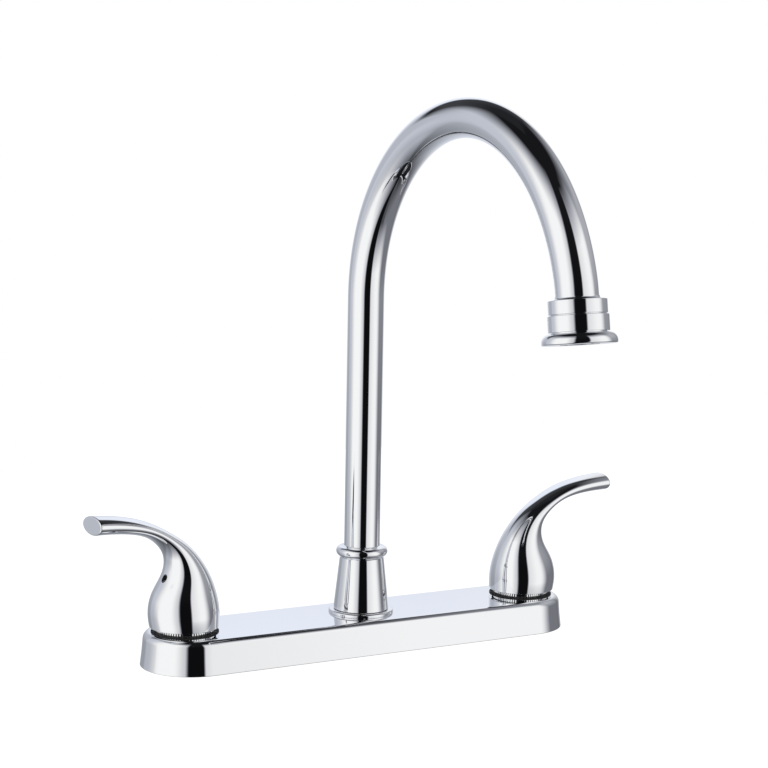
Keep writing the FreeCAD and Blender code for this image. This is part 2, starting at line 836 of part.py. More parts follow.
def cover_washer(label):
    """Black ring between the cover and its lock nut."""
    return ring(f"{label}_cover_washer", size["neck_radius"] + size["cover_hole_gap"],
                size["cover_washer_radius"], cover_top, lock_nut_low)


def cover_lock_nut(label):
    """Serrated ring that clamps the deck cover to the valve body's shoulder."""
    inner = size["neck_radius"] + size["thread_gap"]
    outer = size["lock_nut_radius"]
    top = lock_nut_low + size["lock_nut_height"]
    body = ring(f"{label}_cover_lock_nut", inner, outer, lock_nut_low, top)
    notch = new_sketch(body, f"{label}_serration", "XY_Plane", (0, 0, lock_nut_low))
    half = size["serration_width"] / 2
    draw(notch, [(outer - size["serration_depth"], 0), (outer * NOTCH_PAST, -half),
                 (outer * NOTCH_PAST, half)])
    cut = pocket(body, f"{label}_serration_cut", notch, size["lock_nut_height"], reverse=True)
    ring_of_copies(body, f"{label}_serrations", cut, size["serration_count"])
    return body


# ---------------------------------------------------------------- handle

def handle_section(body, label, name):
    """One closed section of the handle, square to its middle line."""
    up = size["handle_foot"] if name == "foot" else size[f"{name}_up"]
    out, lean = size[f"{name}_out"], size[f"{name}_lean"]
    sketch = new_sketch(body, f"{label}_{name}", "XY_Plane", (out, 0, up), lean, (0, 1, 0))
    bind(sketch, "AttachmentOffset.Rotation.Angle", lean)
    return draw_oval(sketch, size[f"{name}_thick"] / 2, size[f"{name}_wide"] / 2)


def handle(label):
    body = new_body(f"{label}_handle")
    sections = [handle_section(body, label, name) for name in HANDLE_SECTIONS]
    loft = body.newObject("PartDesign::AdditiveLoft", f"{label}_handle_loft")
    loft.Profile = sections[0]
    loft.Sections = sections[1:]
    foot = size["handle_foot"]
    socket = size["drive_radius"] + size["socket_gap"]
    rim = size["foot_thick"] / 2
    corner = size["handle_foot_round"]
    edge = new_sketch(body, f"{label}_foot_edge", "XZ_Plane", (size["foot_out"], 0, 0))
    spin(body, f"{label}_foot_round", draw(edge, [
        (rim - corner, foot),
        (rim, foot + corner, corner, 1),
        (rim * CUT_PAST, foot + corner),
        (rim * CUT_PAST, foot - corner),
        (rim - corner, foot - corner),
    ]), "Groove")
    turned_cut(body, f"{label}_handle_cavity", [
        (0, foot - corner),
        (size["handle_cavity_radius"], foot - corner),
        (size["handle_cavity_radius"], size["handle_cavity_roof"]),
        (size["handle_step_radius"], size["handle_cavity_roof"]),
        (size["handle_step_radius"], size["handle_step_roof"]),
        (socket, size["handle_step_roof"]),
        (socket, size["socket_top"]),
        (0, size["socket_top"]),
    ])
    hole = new_sketch(body, f"{label}_screw_hole", "YZ_Plane")
    draw_circle(hole, 0, size["handle_screw_height"],
                size["set_screw_radius"] + size["thread_gap"])
    pocket(body, f"{label}_screw_hole_cut", hole, size["tip_out"], reverse=True)
    return body


def set_screw(name, start, length, radius, height, axis_role):
    """Headless screw with a hexagon socket in its outer end, lying along a body plane's axis."""
    body = new_body(name)
    sketch = new_sketch(body, f"{name}_circle", axis_role, (0, 0, start))
    draw_circle(sketch, 0, height, radius)
    pad(body, f"{name}_shank", sketch, length)
    socket = new_sketch(body, f"{name}_socket", axis_role, (0, 0, start + length))
    corner = size["hex_key_radius"]
    draw(socket, [(corner * cosine(60 * step), height + corner * sine(60 * step))
                  for step in range(6)])
    pocket(body, f"{name}_socket_cut", socket, size["hex_key_depth"])
    return body


# ---------------------------------------------------------------- spout

def spout_base_ring():
    """Thin round-edged ring that clamps the cover to the spout post."""
    bore = size["post_radius"] + size["thread_gap"]
    recess = size["glide_radius"] + size["thread_gap"]
    edge = size["base_ring_edge"]
    radius = size["base_ring_radius"]
    return turned("spout_base_ring", [
        (bore, cover_top),
        (size["base_ring_foot_radius"], cover_top),
        (radius, cover_top + size["base_ring_bevel"]),
        (radius, base_ring_top - edge),
        (radius - edge, base_ring_top, edge, 1),
        (recess, base_ring_top),
        (recess, glide_low),
        (bore, glide_low),
    ])


def spout_hub():
    round_radius = size["bead_round"]
    inset = (size["bead_height"] - round_radius * 2) / 2
    rim = size["bead_radius"]
    body = turned("spout_hub", [
        (hub_bore, hub_foot),
        (size["hub_foot_radius"], hub_foot),
        (size["hub_neck_radius"], bead_low),
        (rim - round_radius, bead_low + inset),
        (rim, bead_low + inset + round_radius, round_radius, 1),
        (rim - round_radius, bead_top - inset, round_radius, 1),
        (tube_socket, bead_top),
        (tube_socket, tube_foot),
        (size["tube_bore_radius"], tube_foot),
        (size["tube_bore_radius"], hub_ledge_low),
        (hub_bore, hub_ledge_low),
    ])
    hole = new_sketch(body, "hub_screw_hole", "XZ_Plane")
    draw_circle(hole, 0, screw_middle(), size["set_screw_radius"] + size["thread_gap"])
    pocket(body, "hub_screw_hole_cut", hole, size["hub_foot_radius"] * 2)
    return body


def screw_middle():
    """Height of the middle of the post's groove, where the spout's set screw runs."""
    return size["post_groove_low"] + size["post_groove_width"] / 2


def tube_path():
    """Corners of the spout's middle line in the YZ plane, the user's side at negative y."""
    points = [(Size.of(0), tube_foot), (Size.of(0), size["riser_top"])]
    path = [(0, tube_foot), (0, size["riser_top"])]
    angle = Size.of(0)
    y, z = points[-1]
    bends = (
        (size["first_bend_radius"], size["first_bend_angle"]),
        (size["main_bend_radius"], size["main_bend_end"]),
        (size["last_bend_radius"], 180 - size["outlet_tilt"]),
    )
    for radius, turn in bends:
        y = y - radius * (cosine(angle) - cosine(turn))
        z = z + radius * (sine(turn) - sine(angle))
        path.append((y, z, radius, 1))
        angle = turn
    straight = size["tube_end_straight"]
    collar_y = y - straight * sine(size["outlet_tilt"])
    collar_z = z - straight * cosine(size["outlet_tilt"])
    reach = straight + size["tube_insert"]
    path.append((y - reach * sine(size["outlet_tilt"]), z - reach * cosine(size["outlet_tilt"])))
    return path, collar_y, collar_z


def spout_tube():
    body = new_body("spout_tube")
    section = new_sketch(body, "tube_section", "XY_Plane", (0, 0, tube_foot))
    draw_circle(section, 0, 0, size["tube_radius"])
    draw_circle(section, 0, 0, size["tube_bore_radius"])
    path, _, _ = tube_path()
    line = draw(new_sketch(body, "tube_line", "YZ_Plane"), path, closed=False)
    pipe = body.newObject("PartDesign::AdditivePipe", "tube_pipe")
    pipe.Profile = section
    pipe.Spine = line
    return body


def at_outlet(body):
    """Place a body so that its own -Z runs down the outlet, from the top of the collar."""
    _, y, z = tube_path()
    tilt = size["outlet_tilt"]
    rotation = FreeCAD.Rotation(FreeCAD.Vector(-1, 0, 0), tilt.value)
    body.Placement = FreeCAD.Placement(FreeCAD.Vector(0, y.value, z.value), rotation)
    bind(body, "Placement.Base.y", y)
    bind(body, "Placement.Base.z", z)
    bind(body, "Placement.Rotation.Angle", tilt)
    return body


def spout_collar():
    edge = size["collar_edge"]
    radius = size["collar_radius"]
    height = size["collar_height"]
    nipple_foot = -(height + size["nipple_length"])
    neck = size["collar_neck_height"]
    neck_radius = tube_socket + size["collar_neck_wall"]
    reach = size["collar_neck_reach"]
    hollow = (reach * reach + neck * neck) / (2 * reach)
    return at_outlet(turned("spout_collar", [
        (tube_socket, neck),
        (neck_radius, neck),
        (neck_radius + reach, 0, hollow, 1),
        (radius - edge, 0),
        (radius, -edge),
        (radius, -(height - edge)),
        (radius - edge, -height),
        (size["nipple_radius"], -height),
        (size["nipple_radius"], nipple_foot),
        (size["tube_bore_radius"], nipple_foot),
        (size["tube_bore_radius"], -size["tube_insert"]),
        (tube_socket, -size["tube_insert"]),
    ]))


def aerator_levels():
    """Heights of the aerator's steps below the top of the collar, as positive depths."""
    top = size["collar_height"] + size["parting_gap"]
    ring_foot = top + size["aerator_ring_height"]
    waist_foot = ring_foot + size["aerator_waist_height"]
    lip_foot = waist_foot + size["bell_lip_height"]
    washer_top = size["collar_height"] + size["nipple_length"] + size["thread_gap"]
    seat = washer_top + size["washer_thickness"]
    return top, ring_foot, waist_foot, lip_foot, washer_top, seat


def aerator_housing():
    top, ring_foot, waist_foot, lip_foot, _, seat = aerator_levels()
    edge = size["collar_edge"]
    radius = size["aerator_ring_radius"]
    waist = size["aerator_waist_radius"]
    lip = size["bell_lip_radius"]
    lip_edge = size["bell_edge"]
    groove = size["collar_radius"] - size["parting_depth"]
    groove_top = size["collar_height"] + size["thread_gap"]
    skirt_top = lip_foot - size["bell_skirt"]
    thread = size["nipple_radius"] + size["thread_gap"]
    flange_foot = seat + size["insert_flange_height"]
    bore = size["aerator_bore_radius"]
    inner_lip = lip_foot - size["aerator_lip_height"]
    rise = skirt_top - waist_foot
    reach = lip - waist
    bell_radius = (reach * reach + rise * rise) / (2 * reach)
    return at_outlet(turned("aerator_housing", [
        (thread, -groove_top),
        (groove, -groove_top),
        (groove, -top),
        (radius - edge, -top),
        (radius, -(top + edge)),
        (radius, -(ring_foot - edge)),
        (radius - edge, -ring_foot),
        (waist, -ring_foot),
        (waist, -waist_foot),
        (lip, -skirt_top, bell_radius, -1),
        (lip, -(lip_foot - lip_edge)),
        (lip - lip_edge, -lip_foot, lip_edge, -1),
        (size["aerator_lip_radius"], -lip_foot),
        (size["aerator_lip_radius"], -inner_lip),
        (bore, -inner_lip),
        (bore, -flange_foot),
        (thread, -flange_foot),
    ]))


def aerator_washer():
    _, _, _, _, washer_top, seat = aerator_levels()
    outer = size["nipple_radius"] - size["thread_gap"]
    return at_outlet(ring("aerator_washer", size["washer_bore_radius"], outer, -seat,
                          -washer_top))


def aerator_insert():
    """Flow straightener: a flanged cup with a ring of holes."""
    _, _, _, _, _, seat = aerator_levels()
    flange = size["nipple_radius"] - size["thread_gap"]
    flange_foot = seat + size["insert_flange_height"]
    foot = seat + size["insert_height"]
    body = turned("aerator_insert", [
        (0, -foot),
        (size["insert_body_radius"], -foot),
        (size["insert_body_radius"], -flange_foot),
        (flange, -flange_foot),
        (flange, -seat),
        (0, -seat),
    ])
    hole = new_sketch(body, "insert_hole", "XY_Plane", (0, 0, -foot))
    draw_circle(hole, size["insert_hole_circle"], 0, size["insert_hole_radius"])
    cut = pocket(body, "insert_hole_cut", hole, size["insert_height"], reverse=True)
    ring_of_copies(body, "insert_holes", cut, size["insert_hole_count"])
    return at_outlet(body)


def aerator_screen():
    """Punched disc on the housing's inner lip, with rings of holes round a middle one."""
    _, _, _, lip_foot, _, _ = aerator_levels()
    low = -(lip_foot - size["aerator_lip_height"])
    radius = size["aerator_bore_radius"] - size["solder_gap"]
    thickness = size["screen_thickness"]
    body = ring("aerator_screen", size["screen_hole_radius"], radius, low, low + thickness)
    for step in range(1, int(round(size["screen_ring_count"].value)) + 1):
        hole = new_sketch(body, f"screen_hole_{step}", "XY_Plane", (0, 0, low))
        draw_circle(hole, size["screen_ring_pitch"] * step, 0, size["screen_hole_radius"])
        cut = pocket(body, f"screen_cut_{step}", hole, thickness, reverse=True)
        ring_of_copies(body, f"screen_ring_{step}", cut,
                       size["screen_holes_per_step"] * step)
    return at_outlet(body)


# ---------------------------------------------------------------- under the sink deck

def shank_washer(label):
    low = -(size["sink_deck_space"] + size["shank_washer_thickness"])
    inner = size["shank_radius"] + size["nut_gap"]
    return ring(f"{label}_shank_washer", inner, size["shank_washer_radius"], low,
                -size["sink_deck_space"])


def mounting_nut(label):
    """Flanged wing nut that pulls the shank down against the sink deck."""
    top = -(size["sink_deck_space"] + size["shank_washer_thickness"])
    low = top - size["nut_height"]
    inner = size["shank_radius"] + size["nut_gap"]
    body = turned(f"{label}_mounting_nut", [
        (inner, low),
        (size["nut_hub_radius"], low),
        (size["nut_hub_radius"], top - size["nut_flange_height"]),
        (size["nut_flange_radius"], top - size["nut_flange_height"]),
        (size["nut_flange_radius"], top),
        (inner, top),
    ])
    wing = new_sketch(body, f"{label}_wing", "XY_Plane", (0, 0, low))
    half = size["wing_width"] / 2
    root = size["nut_hub_radius"] - size["wing_root_depth"]
    draw_box(wing, root, size["nut_hub_radius"] + size["wing_reach"], -half, half)
    blade = pad(body, f"{label}_wing_pad", wing, size["nut_height"])
    ring_of_copies(body, f"{label}_wings", blade, size["wing_count"])
    return body


# ---------------------------------------------------------------- assembly

def valve_pieces(label, side):
    """All that sits on one handle's axis; the hot side is the cold side turned half round.

    What turns with the hot lever is turned a little further, as the lever stands in the photo.
    """
    handle_screw_start = size["drive_flat"] + size["screw_tip_gap"]
    fixed = [
        valve_body(label),
        seat_seal(label),
        ceramic_disc(f"{label}_fixed_disc", fixed_disc_low, "x"),
        cartridge_housing(label),
        bonnet_nut(label),
        cover_washer(label),
        cover_lock_nut(label),
        shank_washer(label),
        mounting_nut(label),
    ]
    moving = [
        ceramic_disc(f"{label}_moving_disc", moving_disc_low, "y"),
        stem(label),
        stem_seals(label),
        stem_clip(label),
        handle(label),
        set_screw(f"{label}_handle_screw", handle_screw_start, size["handle_screw_length"],
                  size["set_screw_radius"], size["handle_screw_height"], "YZ_Plane"),
    ]
    for piece in fixed:
        stand_at(piece, handle_x * side, 0, 0 if side > 0 else 180)
    for piece in moving:
        stand_at(piece, handle_x * side, 0, 0 if side > 0 else 180 + size["hot_lever_turn"])
    return fixed + moving


def spout_set_screw():
    """Screw at the back of the hub whose tip runs in the post's groove."""
    tip = post_groove_radius + size["screw_groove_gap"]
    length = size["hub_foot_radius"] - tip - size["base_ring_edge"]
    screw = set_screw("spout_set_screw", tip, length, size["set_screw_radius"],
                      screw_middle(), "XZ_Plane")
    return stand_at(screw, turn=180)


def build_all():
    pieces = [deck_cover(), deck_gasket(), spout_post(), spout_seals(), spout_base_ring()]
    pieces.append(ring("spout_glide_washer", size["post_radius"] + size["thread_gap"],
                       size["glide_radius"], glide_low,
                       glide_low + size["glide_thickness"]))
    for label, side in SIDES.items():
        pieces += valve_pieces(label, side)
        pieces.append(crossover_tube(label, side))
    pieces += [spout_hub(), spout_tube(), spout_set_screw(), spout_collar(), aerator_housing(),
               aerator_washer(), aerator_insert(), aerator_screen()]
    return pieces


def check_and_write(pieces):
    doc.recompute()
    for item in doc.Objects:
        faults = [state for state in item.State if state in ("Invalid", "Error")]
        if faults:
            raise RuntimeError(f"{item.Name}: {faults}")
    for piece in pieces:
        if piece.Shape.isNull() or not piece.Shape.isValid():
            raise RuntimeError(f"{piece.Label}: bad shape")
    os.makedirs("parts", exist_ok=True)
    for piece in pieces:
        piece.Shape.exportStep(f"parts/{piece.Label}.step")
        shape = piece.Shape
        print(f"{piece.Label}: {len(shape.Solids)} solid(s), {shape.Volume:.1f} mm3")


check_and_write(build_all())
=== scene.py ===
# %% [markdown]
# # Dressing a two handle kitchen faucet in chrome
#
# The faucet is a row of polished castings on one long deck cover: two swept levers, a cone that
# carries the gooseneck, and a bell at its outlet. Its working parts come in as a fixed frame with
# true sizes. This lesson makes the pieces that show again as smooth meshes, each in its exact
# place, and gives every piece a finish.
#
# Chrome has almost no colour of its own. It shows the studio around it, so the light is built
# first and with as much care as the metal.

# %% Load the fixed frame
import json
import math

import bmesh
import bpy
from mathutils import Matrix, Vector

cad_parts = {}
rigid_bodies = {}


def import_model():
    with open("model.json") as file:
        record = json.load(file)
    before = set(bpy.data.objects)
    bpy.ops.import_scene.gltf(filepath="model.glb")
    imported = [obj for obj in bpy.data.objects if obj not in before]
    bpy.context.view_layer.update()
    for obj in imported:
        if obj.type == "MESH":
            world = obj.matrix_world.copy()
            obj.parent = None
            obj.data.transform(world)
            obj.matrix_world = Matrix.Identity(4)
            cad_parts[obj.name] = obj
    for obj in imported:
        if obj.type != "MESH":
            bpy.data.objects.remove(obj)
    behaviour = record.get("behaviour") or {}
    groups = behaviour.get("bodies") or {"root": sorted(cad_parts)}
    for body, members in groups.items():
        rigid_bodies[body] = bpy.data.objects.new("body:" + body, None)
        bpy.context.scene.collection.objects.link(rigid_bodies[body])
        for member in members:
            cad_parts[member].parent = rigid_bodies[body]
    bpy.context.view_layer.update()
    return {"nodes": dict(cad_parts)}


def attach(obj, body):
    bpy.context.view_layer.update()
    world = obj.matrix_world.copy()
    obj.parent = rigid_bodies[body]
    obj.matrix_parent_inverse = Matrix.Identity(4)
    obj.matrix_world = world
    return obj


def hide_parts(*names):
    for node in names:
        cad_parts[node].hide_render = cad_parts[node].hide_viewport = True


MM = 0.001
MERGE_DISTANCE = 0.001 * MM
NEAR = 0.01  # mm, the slack of a test whether a point lies in a plane
for leftover in list(bpy.data.objects):
    bpy.data.objects.remove(leftover)
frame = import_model()
nodes = frame["nodes"]

# %% [markdown]
# ## The camera
#
# The faucet is seen from its front left, a little above the deck. A camera is a place, a line of
# sight and a lens. The picture's top leans one degree, which is the camera's roll. The frame is
# square, 768 pixels wide, so the lens follows from the focal length in pixels.

# %% Place the camera
PICTURE_WIDTH = 768
FOCAL_PIXELS = 1858.66
SENSOR_WIDTH = 36.0
CAMERA_PLACE = Vector((-466.835, -852.338, 254.881)) * MM
CAMERA_SIGHT = Vector((0.48614781, 0.86588434, -0.11791784))
CAMERA_ROLL = 0.018136

camera_data = bpy.data.cameras.new("camera")
camera_data.sensor_width = SENSOR_WIDTH
camera_data.lens = FOCAL_PIXELS / PICTURE_WIDTH * SENSOR_WIDTH
camera = bpy.data.objects.new("camera", camera_data)
bpy.context.scene.collection.objects.link(camera)
camera_turn = CAMERA_SIGHT.to_track_quat("-Z", "Y").to_matrix()
camera_turn = camera_turn @ Matrix.Rotation(CAMERA_ROLL, 3, "Z")
camera.matrix_world = Matrix.Translation(CAMERA_PLACE) @ camera_turn.to_4x4()
bpy.context.scene.camera = camera
bpy.context.scene.view_settings.view_transform = "Standard"
print(f"lens {camera_data.lens:.1f} mm, {CAMERA_PLACE.length:.2f} m from the faucet's middle")

# %% [markdown]
# ## The studio
#
# Product studios light chrome with large white cloths and leave black gaps between them, because
# a mirror needs something dark to show its shape. Here a left cloth, a back wall, a grey screen
# and a right cloth stand round the faucet. A black gap at the front left, where the photographer
# stands, gives the dark stripe on every upright piece, and the black ceiling gives the dark edge
# along the cover.
#
# The cloths hang on a round tent a little less than a metre away. That is near enough for each
# handle to see them from its own side, so the stripe sits differently on the two. The tent is a
# sphere that glows inside, and its cloths are ranges of direction from its middle: an azimuth, 0
# behind the faucet and 90 on its right, and an elevation. Each has soft edges. The camera itself
# looks through the tent and sees plain white.

# %% Helpers for shader trees


def linear(shade):
    """The light value of a shade given as it shows on a screen, from 0 to 1."""
    return shade / 12.92 if shade <= 0.04045 else ((shade + 0.055) / 1.055) ** 2.4


class Tree:
    """A short way to write shader nodes: each call adds one and returns its output."""

    def __init__(self, tree):
        self.tree = tree
        self.tree.nodes.clear()

    def node(self, kind, inputs=(), **settings):
        item = self.tree.nodes.new(kind)
        for name, value in settings.items():
            setattr(item, name, value)
        for socket, value in dict(inputs).items():
            if isinstance(value, bpy.types.NodeSocket):
                self.tree.links.new(value, item.inputs[socket])
            else:
                item.inputs[socket].default_value = value
        return item

    def math(self, operation, *values):
        return self.node("ShaderNodeMath", dict(enumerate(values)), operation=operation).outputs[0]

    def fold(self, operation, values):
        """One operation on the first two values, then on its result and each next value."""
        result = values[0]
        for value in values[1:]:
            result = self.math(operation, result, value)
        return result

    def span(self, value, start, end, low=0.0, high=1.0, kind="SMOOTHSTEP"):
        """A value that goes from low to high while the input goes from start to end."""
        sockets = {"Value": value, "From Min": start, "From Max": end, "To Min": low,
                   "To Max": high}
        item = self.node("ShaderNodeMapRange", sockets, interpolation_type=kind, clamp=True)
        return item.outputs["Result"]

    def noise(self, place, scale, detail=3.0, roughness=0.5):
        sockets = {"Vector": place, "Scale": scale, "Detail": detail, "Roughness": roughness}
        return self.node("ShaderNodeTexNoise", sockets).outputs["Fac"]

    def blend(self, amount, first, second):
        """A colour between two colours."""
        item = self.node("ShaderNodeMix", data_type="RGBA", blend_type="MIX")
        self.tree.links.new(amount, item.inputs["Factor"])
        for socket, colour in ((6, first), (7, second)):
            if isinstance(colour, bpy.types.NodeSocket):
                self.tree.links.new(colour, item.inputs[socket])
            else:
                item.inputs[socket].default_value = (*colour, 1)
        return item.outputs[2]


# %% Hang the cloths round the faucet
COOL_WHITE = (0.88, 0.895, 1.0)
WARM_WHITE = (1.0, 0.995, 0.99)
WALL_WHITE = (0.86, 0.90, 1.0)
TENT_RADIUS = 0.9
TENT_MIDDLE = (0, 0, 0.1)


def clear_selection():
    if bpy.context.object and bpy.context.object.mode != "OBJECT":
        bpy.ops.object.mode_set(mode="OBJECT")
    bpy.ops.object.select_all(action="DESELECT")


def plain_material(name):
    material = bpy.data.materials.new(name)
    material.use_nodes = True
    return material


def white_background():
    world = bpy.data.worlds.new("background")
    bpy.context.scene.world = world
    world.use_nodes = True
    tree = Tree(world.node_tree)
    plain = tree.node("ShaderNodeBackground", {"Color": (1, 1, 1, 1), "Strength": 1.0})
    tree.node("ShaderNodeOutputWorld", {0: plain.outputs[0]})


def tent_cloths():
    material = plain_material("studio_tent")
    tree = Tree(material.node_tree)
    place = tree.node("ShaderNodeTexCoord").outputs["Object"]
    direction = tree.node("ShaderNodeVectorMath", {0: place}, operation="NORMALIZE").outputs[0]
    parts = tree.node("ShaderNodeSeparateXYZ", {0: direction})
    turn = tree.math("ARCTAN2", parts.outputs["X"], parts.outputs["Y"])
    azimuth = tree.math("DEGREES", turn)
    round_front = tree.math("FLOORED_MODULO", azimuth, 360.0)
    rise = tree.math("ARCSINE", parts.outputs["Z"])
    elevation = tree.math("DEGREES", rise)

    def inside(value, start, end):
        return tree.span(value, start, end)

    def fade(start, end, low=0.0, high=1.0):
        return tree.span(elevation, start, end, low, high, kind="LINEAR")

    def both(*masks):
        return tree.fold("MULTIPLY", masks)

    def either(*masks):
        return tree.fold("MAXIMUM", masks)

    def glow(mask, dim, bright):
        """A cloth's light: bright where its glow is, dim elsewhere."""
        extra = tree.math("MULTIPLY", mask, linear(bright) - linear(dim))
        return tree.math("ADD", extra, linear(dim))

    def ramp(value, start, end, low, high):
        return tree.span(value, start, end, linear(low), linear(high), kind="LINEAR")

    # left cloth: brightest in its middle, greyer towards the back
    left = both(inside(azimuth, -144, -135), inside(azimuth, -9, -39))
    left_glow = both(inside(azimuth, -139, -112), inside(azimuth, -46, -84))
    left_low = either(fade(-20, 2, 0.78), inside(azimuth, -50, -75))
    left_cloth = both(left, fade(68, 37), fade(-83, -31), left_low,
                      glow(left_glow, 0.82, 0.99))

    # back wall: its top edge slopes down to the left
    slope = tree.span(azimuth, -17, 25, 15.0, 0.0, kind="LINEAR")
    back_top = inside(tree.math("ADD", elevation, slope), 46, 38)
    back = both(inside(azimuth, -50, -34), inside(azimuth, 84, 56))
    back_glow = both(inside(azimuth, -11, 22), inside(azimuth, 62, 40))
    back_wall = both(back, back_top, fade(-66, 12, 0.14), glow(back_glow, 0.77, 0.99))

    # grey screen at the right, darker below
    screen = both(inside(azimuth, 48, 82), inside(azimuth, 167, 150), fade(65, 37))
    grey_screen = both(screen, fade(-8, 24, 0.45), fade(-80, -50, 0.25), linear(0.71))

    # right cloth: bright towards the front, where it passes the middle by a little
    right = both(inside(round_front, 98, 139), inside(round_front, 185, 179))
    right_cloth = both(right, fade(62, 36), fade(-52, -15, 0.1),
                       ramp(round_front, 150, 180, 0.98, 0.89))

    # the ceiling keeps a little haze over the back wall
    haze = both(inside(azimuth, -60, -10), inside(azimuth, 90, 50), inside(elevation, 30, 40),
                ramp(elevation, 46, 66, 0.26, 0.15))
    dark = either(haze, ramp(elevation, 10, 50, 0.06, 0.10))
    light = either(left_cloth, back_wall, grey_screen, right_cloth, dark)
    tint = tree.blend(tree.span(light, linear(0.5), linear(0.95)), COOL_WHITE, WARM_WHITE)
    tint = tree.blend(both(inside(azimuth, -70, -40), inside(azimuth, 60, 30)), tint, WALL_WHITE)
    cloth = tree.node("ShaderNodeEmission", {"Color": tint, "Strength": light})
    tree.node("ShaderNodeOutputMaterial", {0: cloth.outputs[0]})
    return material


def studio_tent():
    clear_selection()
    bpy.ops.mesh.primitive_uv_sphere_add(segments=48, ring_count=24, radius=TENT_RADIUS,
                                         location=TENT_MIDDLE)
    tent = bpy.context.object
    tent.name = "studio_tent"
    tent.data.materials.append(tent_cloths())
    tent.visible_camera = False
    return tent


white_background()
tent = studio_tent()
print(f"the tent is {TENT_RADIUS * 2:.1f} m wide and has "
      f"{len(tent.data.materials[0].node_tree.nodes)} shader nodes")

# %% [markdown]
# ## The floor
#
# The faucet stands on white paper that is lit until it is as white as the background. The paper
# glows by itself and keeps a little of the light that falls on it, so only a faint shadow is left
# under the cover. The chrome doesn't see it, because the tent goes on below the faucet and has
# the cloths' lower halves on it.

# %% Lay the paper
FLOOR_SIZE = 1.2
FLOOR_GAP = 0.3 * MM
PAPER_GREY = 0.42
PAPER_GLOW = 0.95


def paper():
    material = plain_material("white_paper")
    tree = Tree(material.node_tree)
    sockets = {"Base Color": (PAPER_GREY, PAPER_GREY, PAPER_GREY, 1), "Roughness": 0.9,
               "Specular IOR Level": 0.0, "Emission Color": (1, 1, 1, 1),
               "Emission Strength": PAPER_GLOW}
    shader = tree.node("ShaderNodeBsdfPrincipled", sockets)
    tree.node("ShaderNodeOutputMaterial", {0: shader.outputs[0]})
    return material


clear_selection()
bpy.ops.mesh.primitive_plane_add(size=FLOOR_SIZE, location=(0, 0, -FLOOR_GAP))
floor = bpy.context.object
floor.name = "floor"
floor.data.materials.append(paper())
floor.visible_glossy = False
print(f"paper {FLOOR_SIZE:.1f} m wide, {FLOOR_GAP / MM:.1f} mm under the cover's foot")

# %% [markdown]
# ## Polished chrome
#
# Chrome plate reflects about nine tenths of the light, a touch less in red, which makes its greys
# cool. Polishing leaves it almost, but not quite, a perfect mirror: the buffing wheel leaves
# faint waves some millimetres long, and the plate hazes very slightly from place to place. Both
# are far too small to model, so they go in the shader, as a weak bump and a change of roughness.

# %% Mix the chrome
CHROME_COLOUR = (0.925, 0.935, 0.95)
CHROME_ROUGHNESS = (0.015, 0.045)


def chrome(name, wave_strength=0.02, wave_scale=70.0):
    material = plain_material(name)
    tree = Tree(material.node_tree)
    place = tree.node("ShaderNodeTexCoord").outputs["Object"]
    haze = tree.noise(place, 120.0, 4.0, 0.6)
    roughness = tree.span(haze, 0.35, 0.7, *CHROME_ROUGHNESS)
    waves = tree.noise(place, wave_scale, 2.0, 0.4)
    bump = tree.node("ShaderNodeBump", {"Strength": wave_strength, "Distance": 0.02 * MM,
                                        "Height": waves})
    sockets = {"Base Color": (*CHROME_COLOUR, 1), "Metallic": 1.0, "Roughness": roughness,
               "Normal": bump.outputs[0]}
    shader = tree.node("ShaderNodeBsdfPrincipled", sockets)
    tree.node("ShaderNodeOutputMaterial", {0: shader.outputs[0]})
    return material


drawn_chrome = chrome("chrome_on_drawn_tube", wave_strength=0.01)
cast_chrome = chrome("chrome_on_castings", wave_strength=0.03)
sheet_chrome = chrome("chrome_on_pressed_sheet", wave_strength=0.04, wave_scale=40.0)
print("chrome:", drawn_chrome.name, cast_chrome.name, sheet_chrome.name)

# %% [markdown]
# ## Drawing an outline
#
# Most of a faucet is turned on a lathe, and a lathe piece is one outline swept round an axis. The
# outline is drawn like a pencil line: one point is extruded to the next corner, and where the
# line is round, the spin tool carries the point along the arc.
#
# A corner is (across, up), or (across, up, radius, side) where an arc arrives, and side is 1 if
# the arc bulges to the right of its way. Blender's spin turns clockwise about its axis, so the
# angle is given with a minus sign.

# %% The pencil
UP = Vector((0, 0, 1))
ARC_STEP = math.radians(7.5)


def finish_drawing():
    bpy.ops.object.mode_set(mode="OBJECT")


def start_point(name, place):
    """A new piece of one point, in edit mode with the point selected."""
    clear_selection()
    bpy.ops.mesh.primitive_plane_add(size=MM)
    piece = bpy.context.object
    piece.name = name
    piece.data.name = name
    bpy.ops.object.mode_set(mode="EDIT")
    bpy.ops.mesh.select_all(action="SELECT")
    bpy.ops.mesh.merge(type="CENTER")
    bpy.ops.transform.translate(value=place)
    return piece


def arc_centre(start, end, radius, side):
    """Centre of an arc in the drawing's plane, and its turn, counterclockwise if positive."""
    chord = end - start
    left = Vector((-chord.y, chord.x)).normalized()
    height = math.sqrt(max(radius ** 2 - (chord.length / 2) ** 2, 0))
    turn = 2 * math.asin(min(chord.length / 2 / radius, 1)) * side
    return (start + end) / 2 + left * height * side, turn


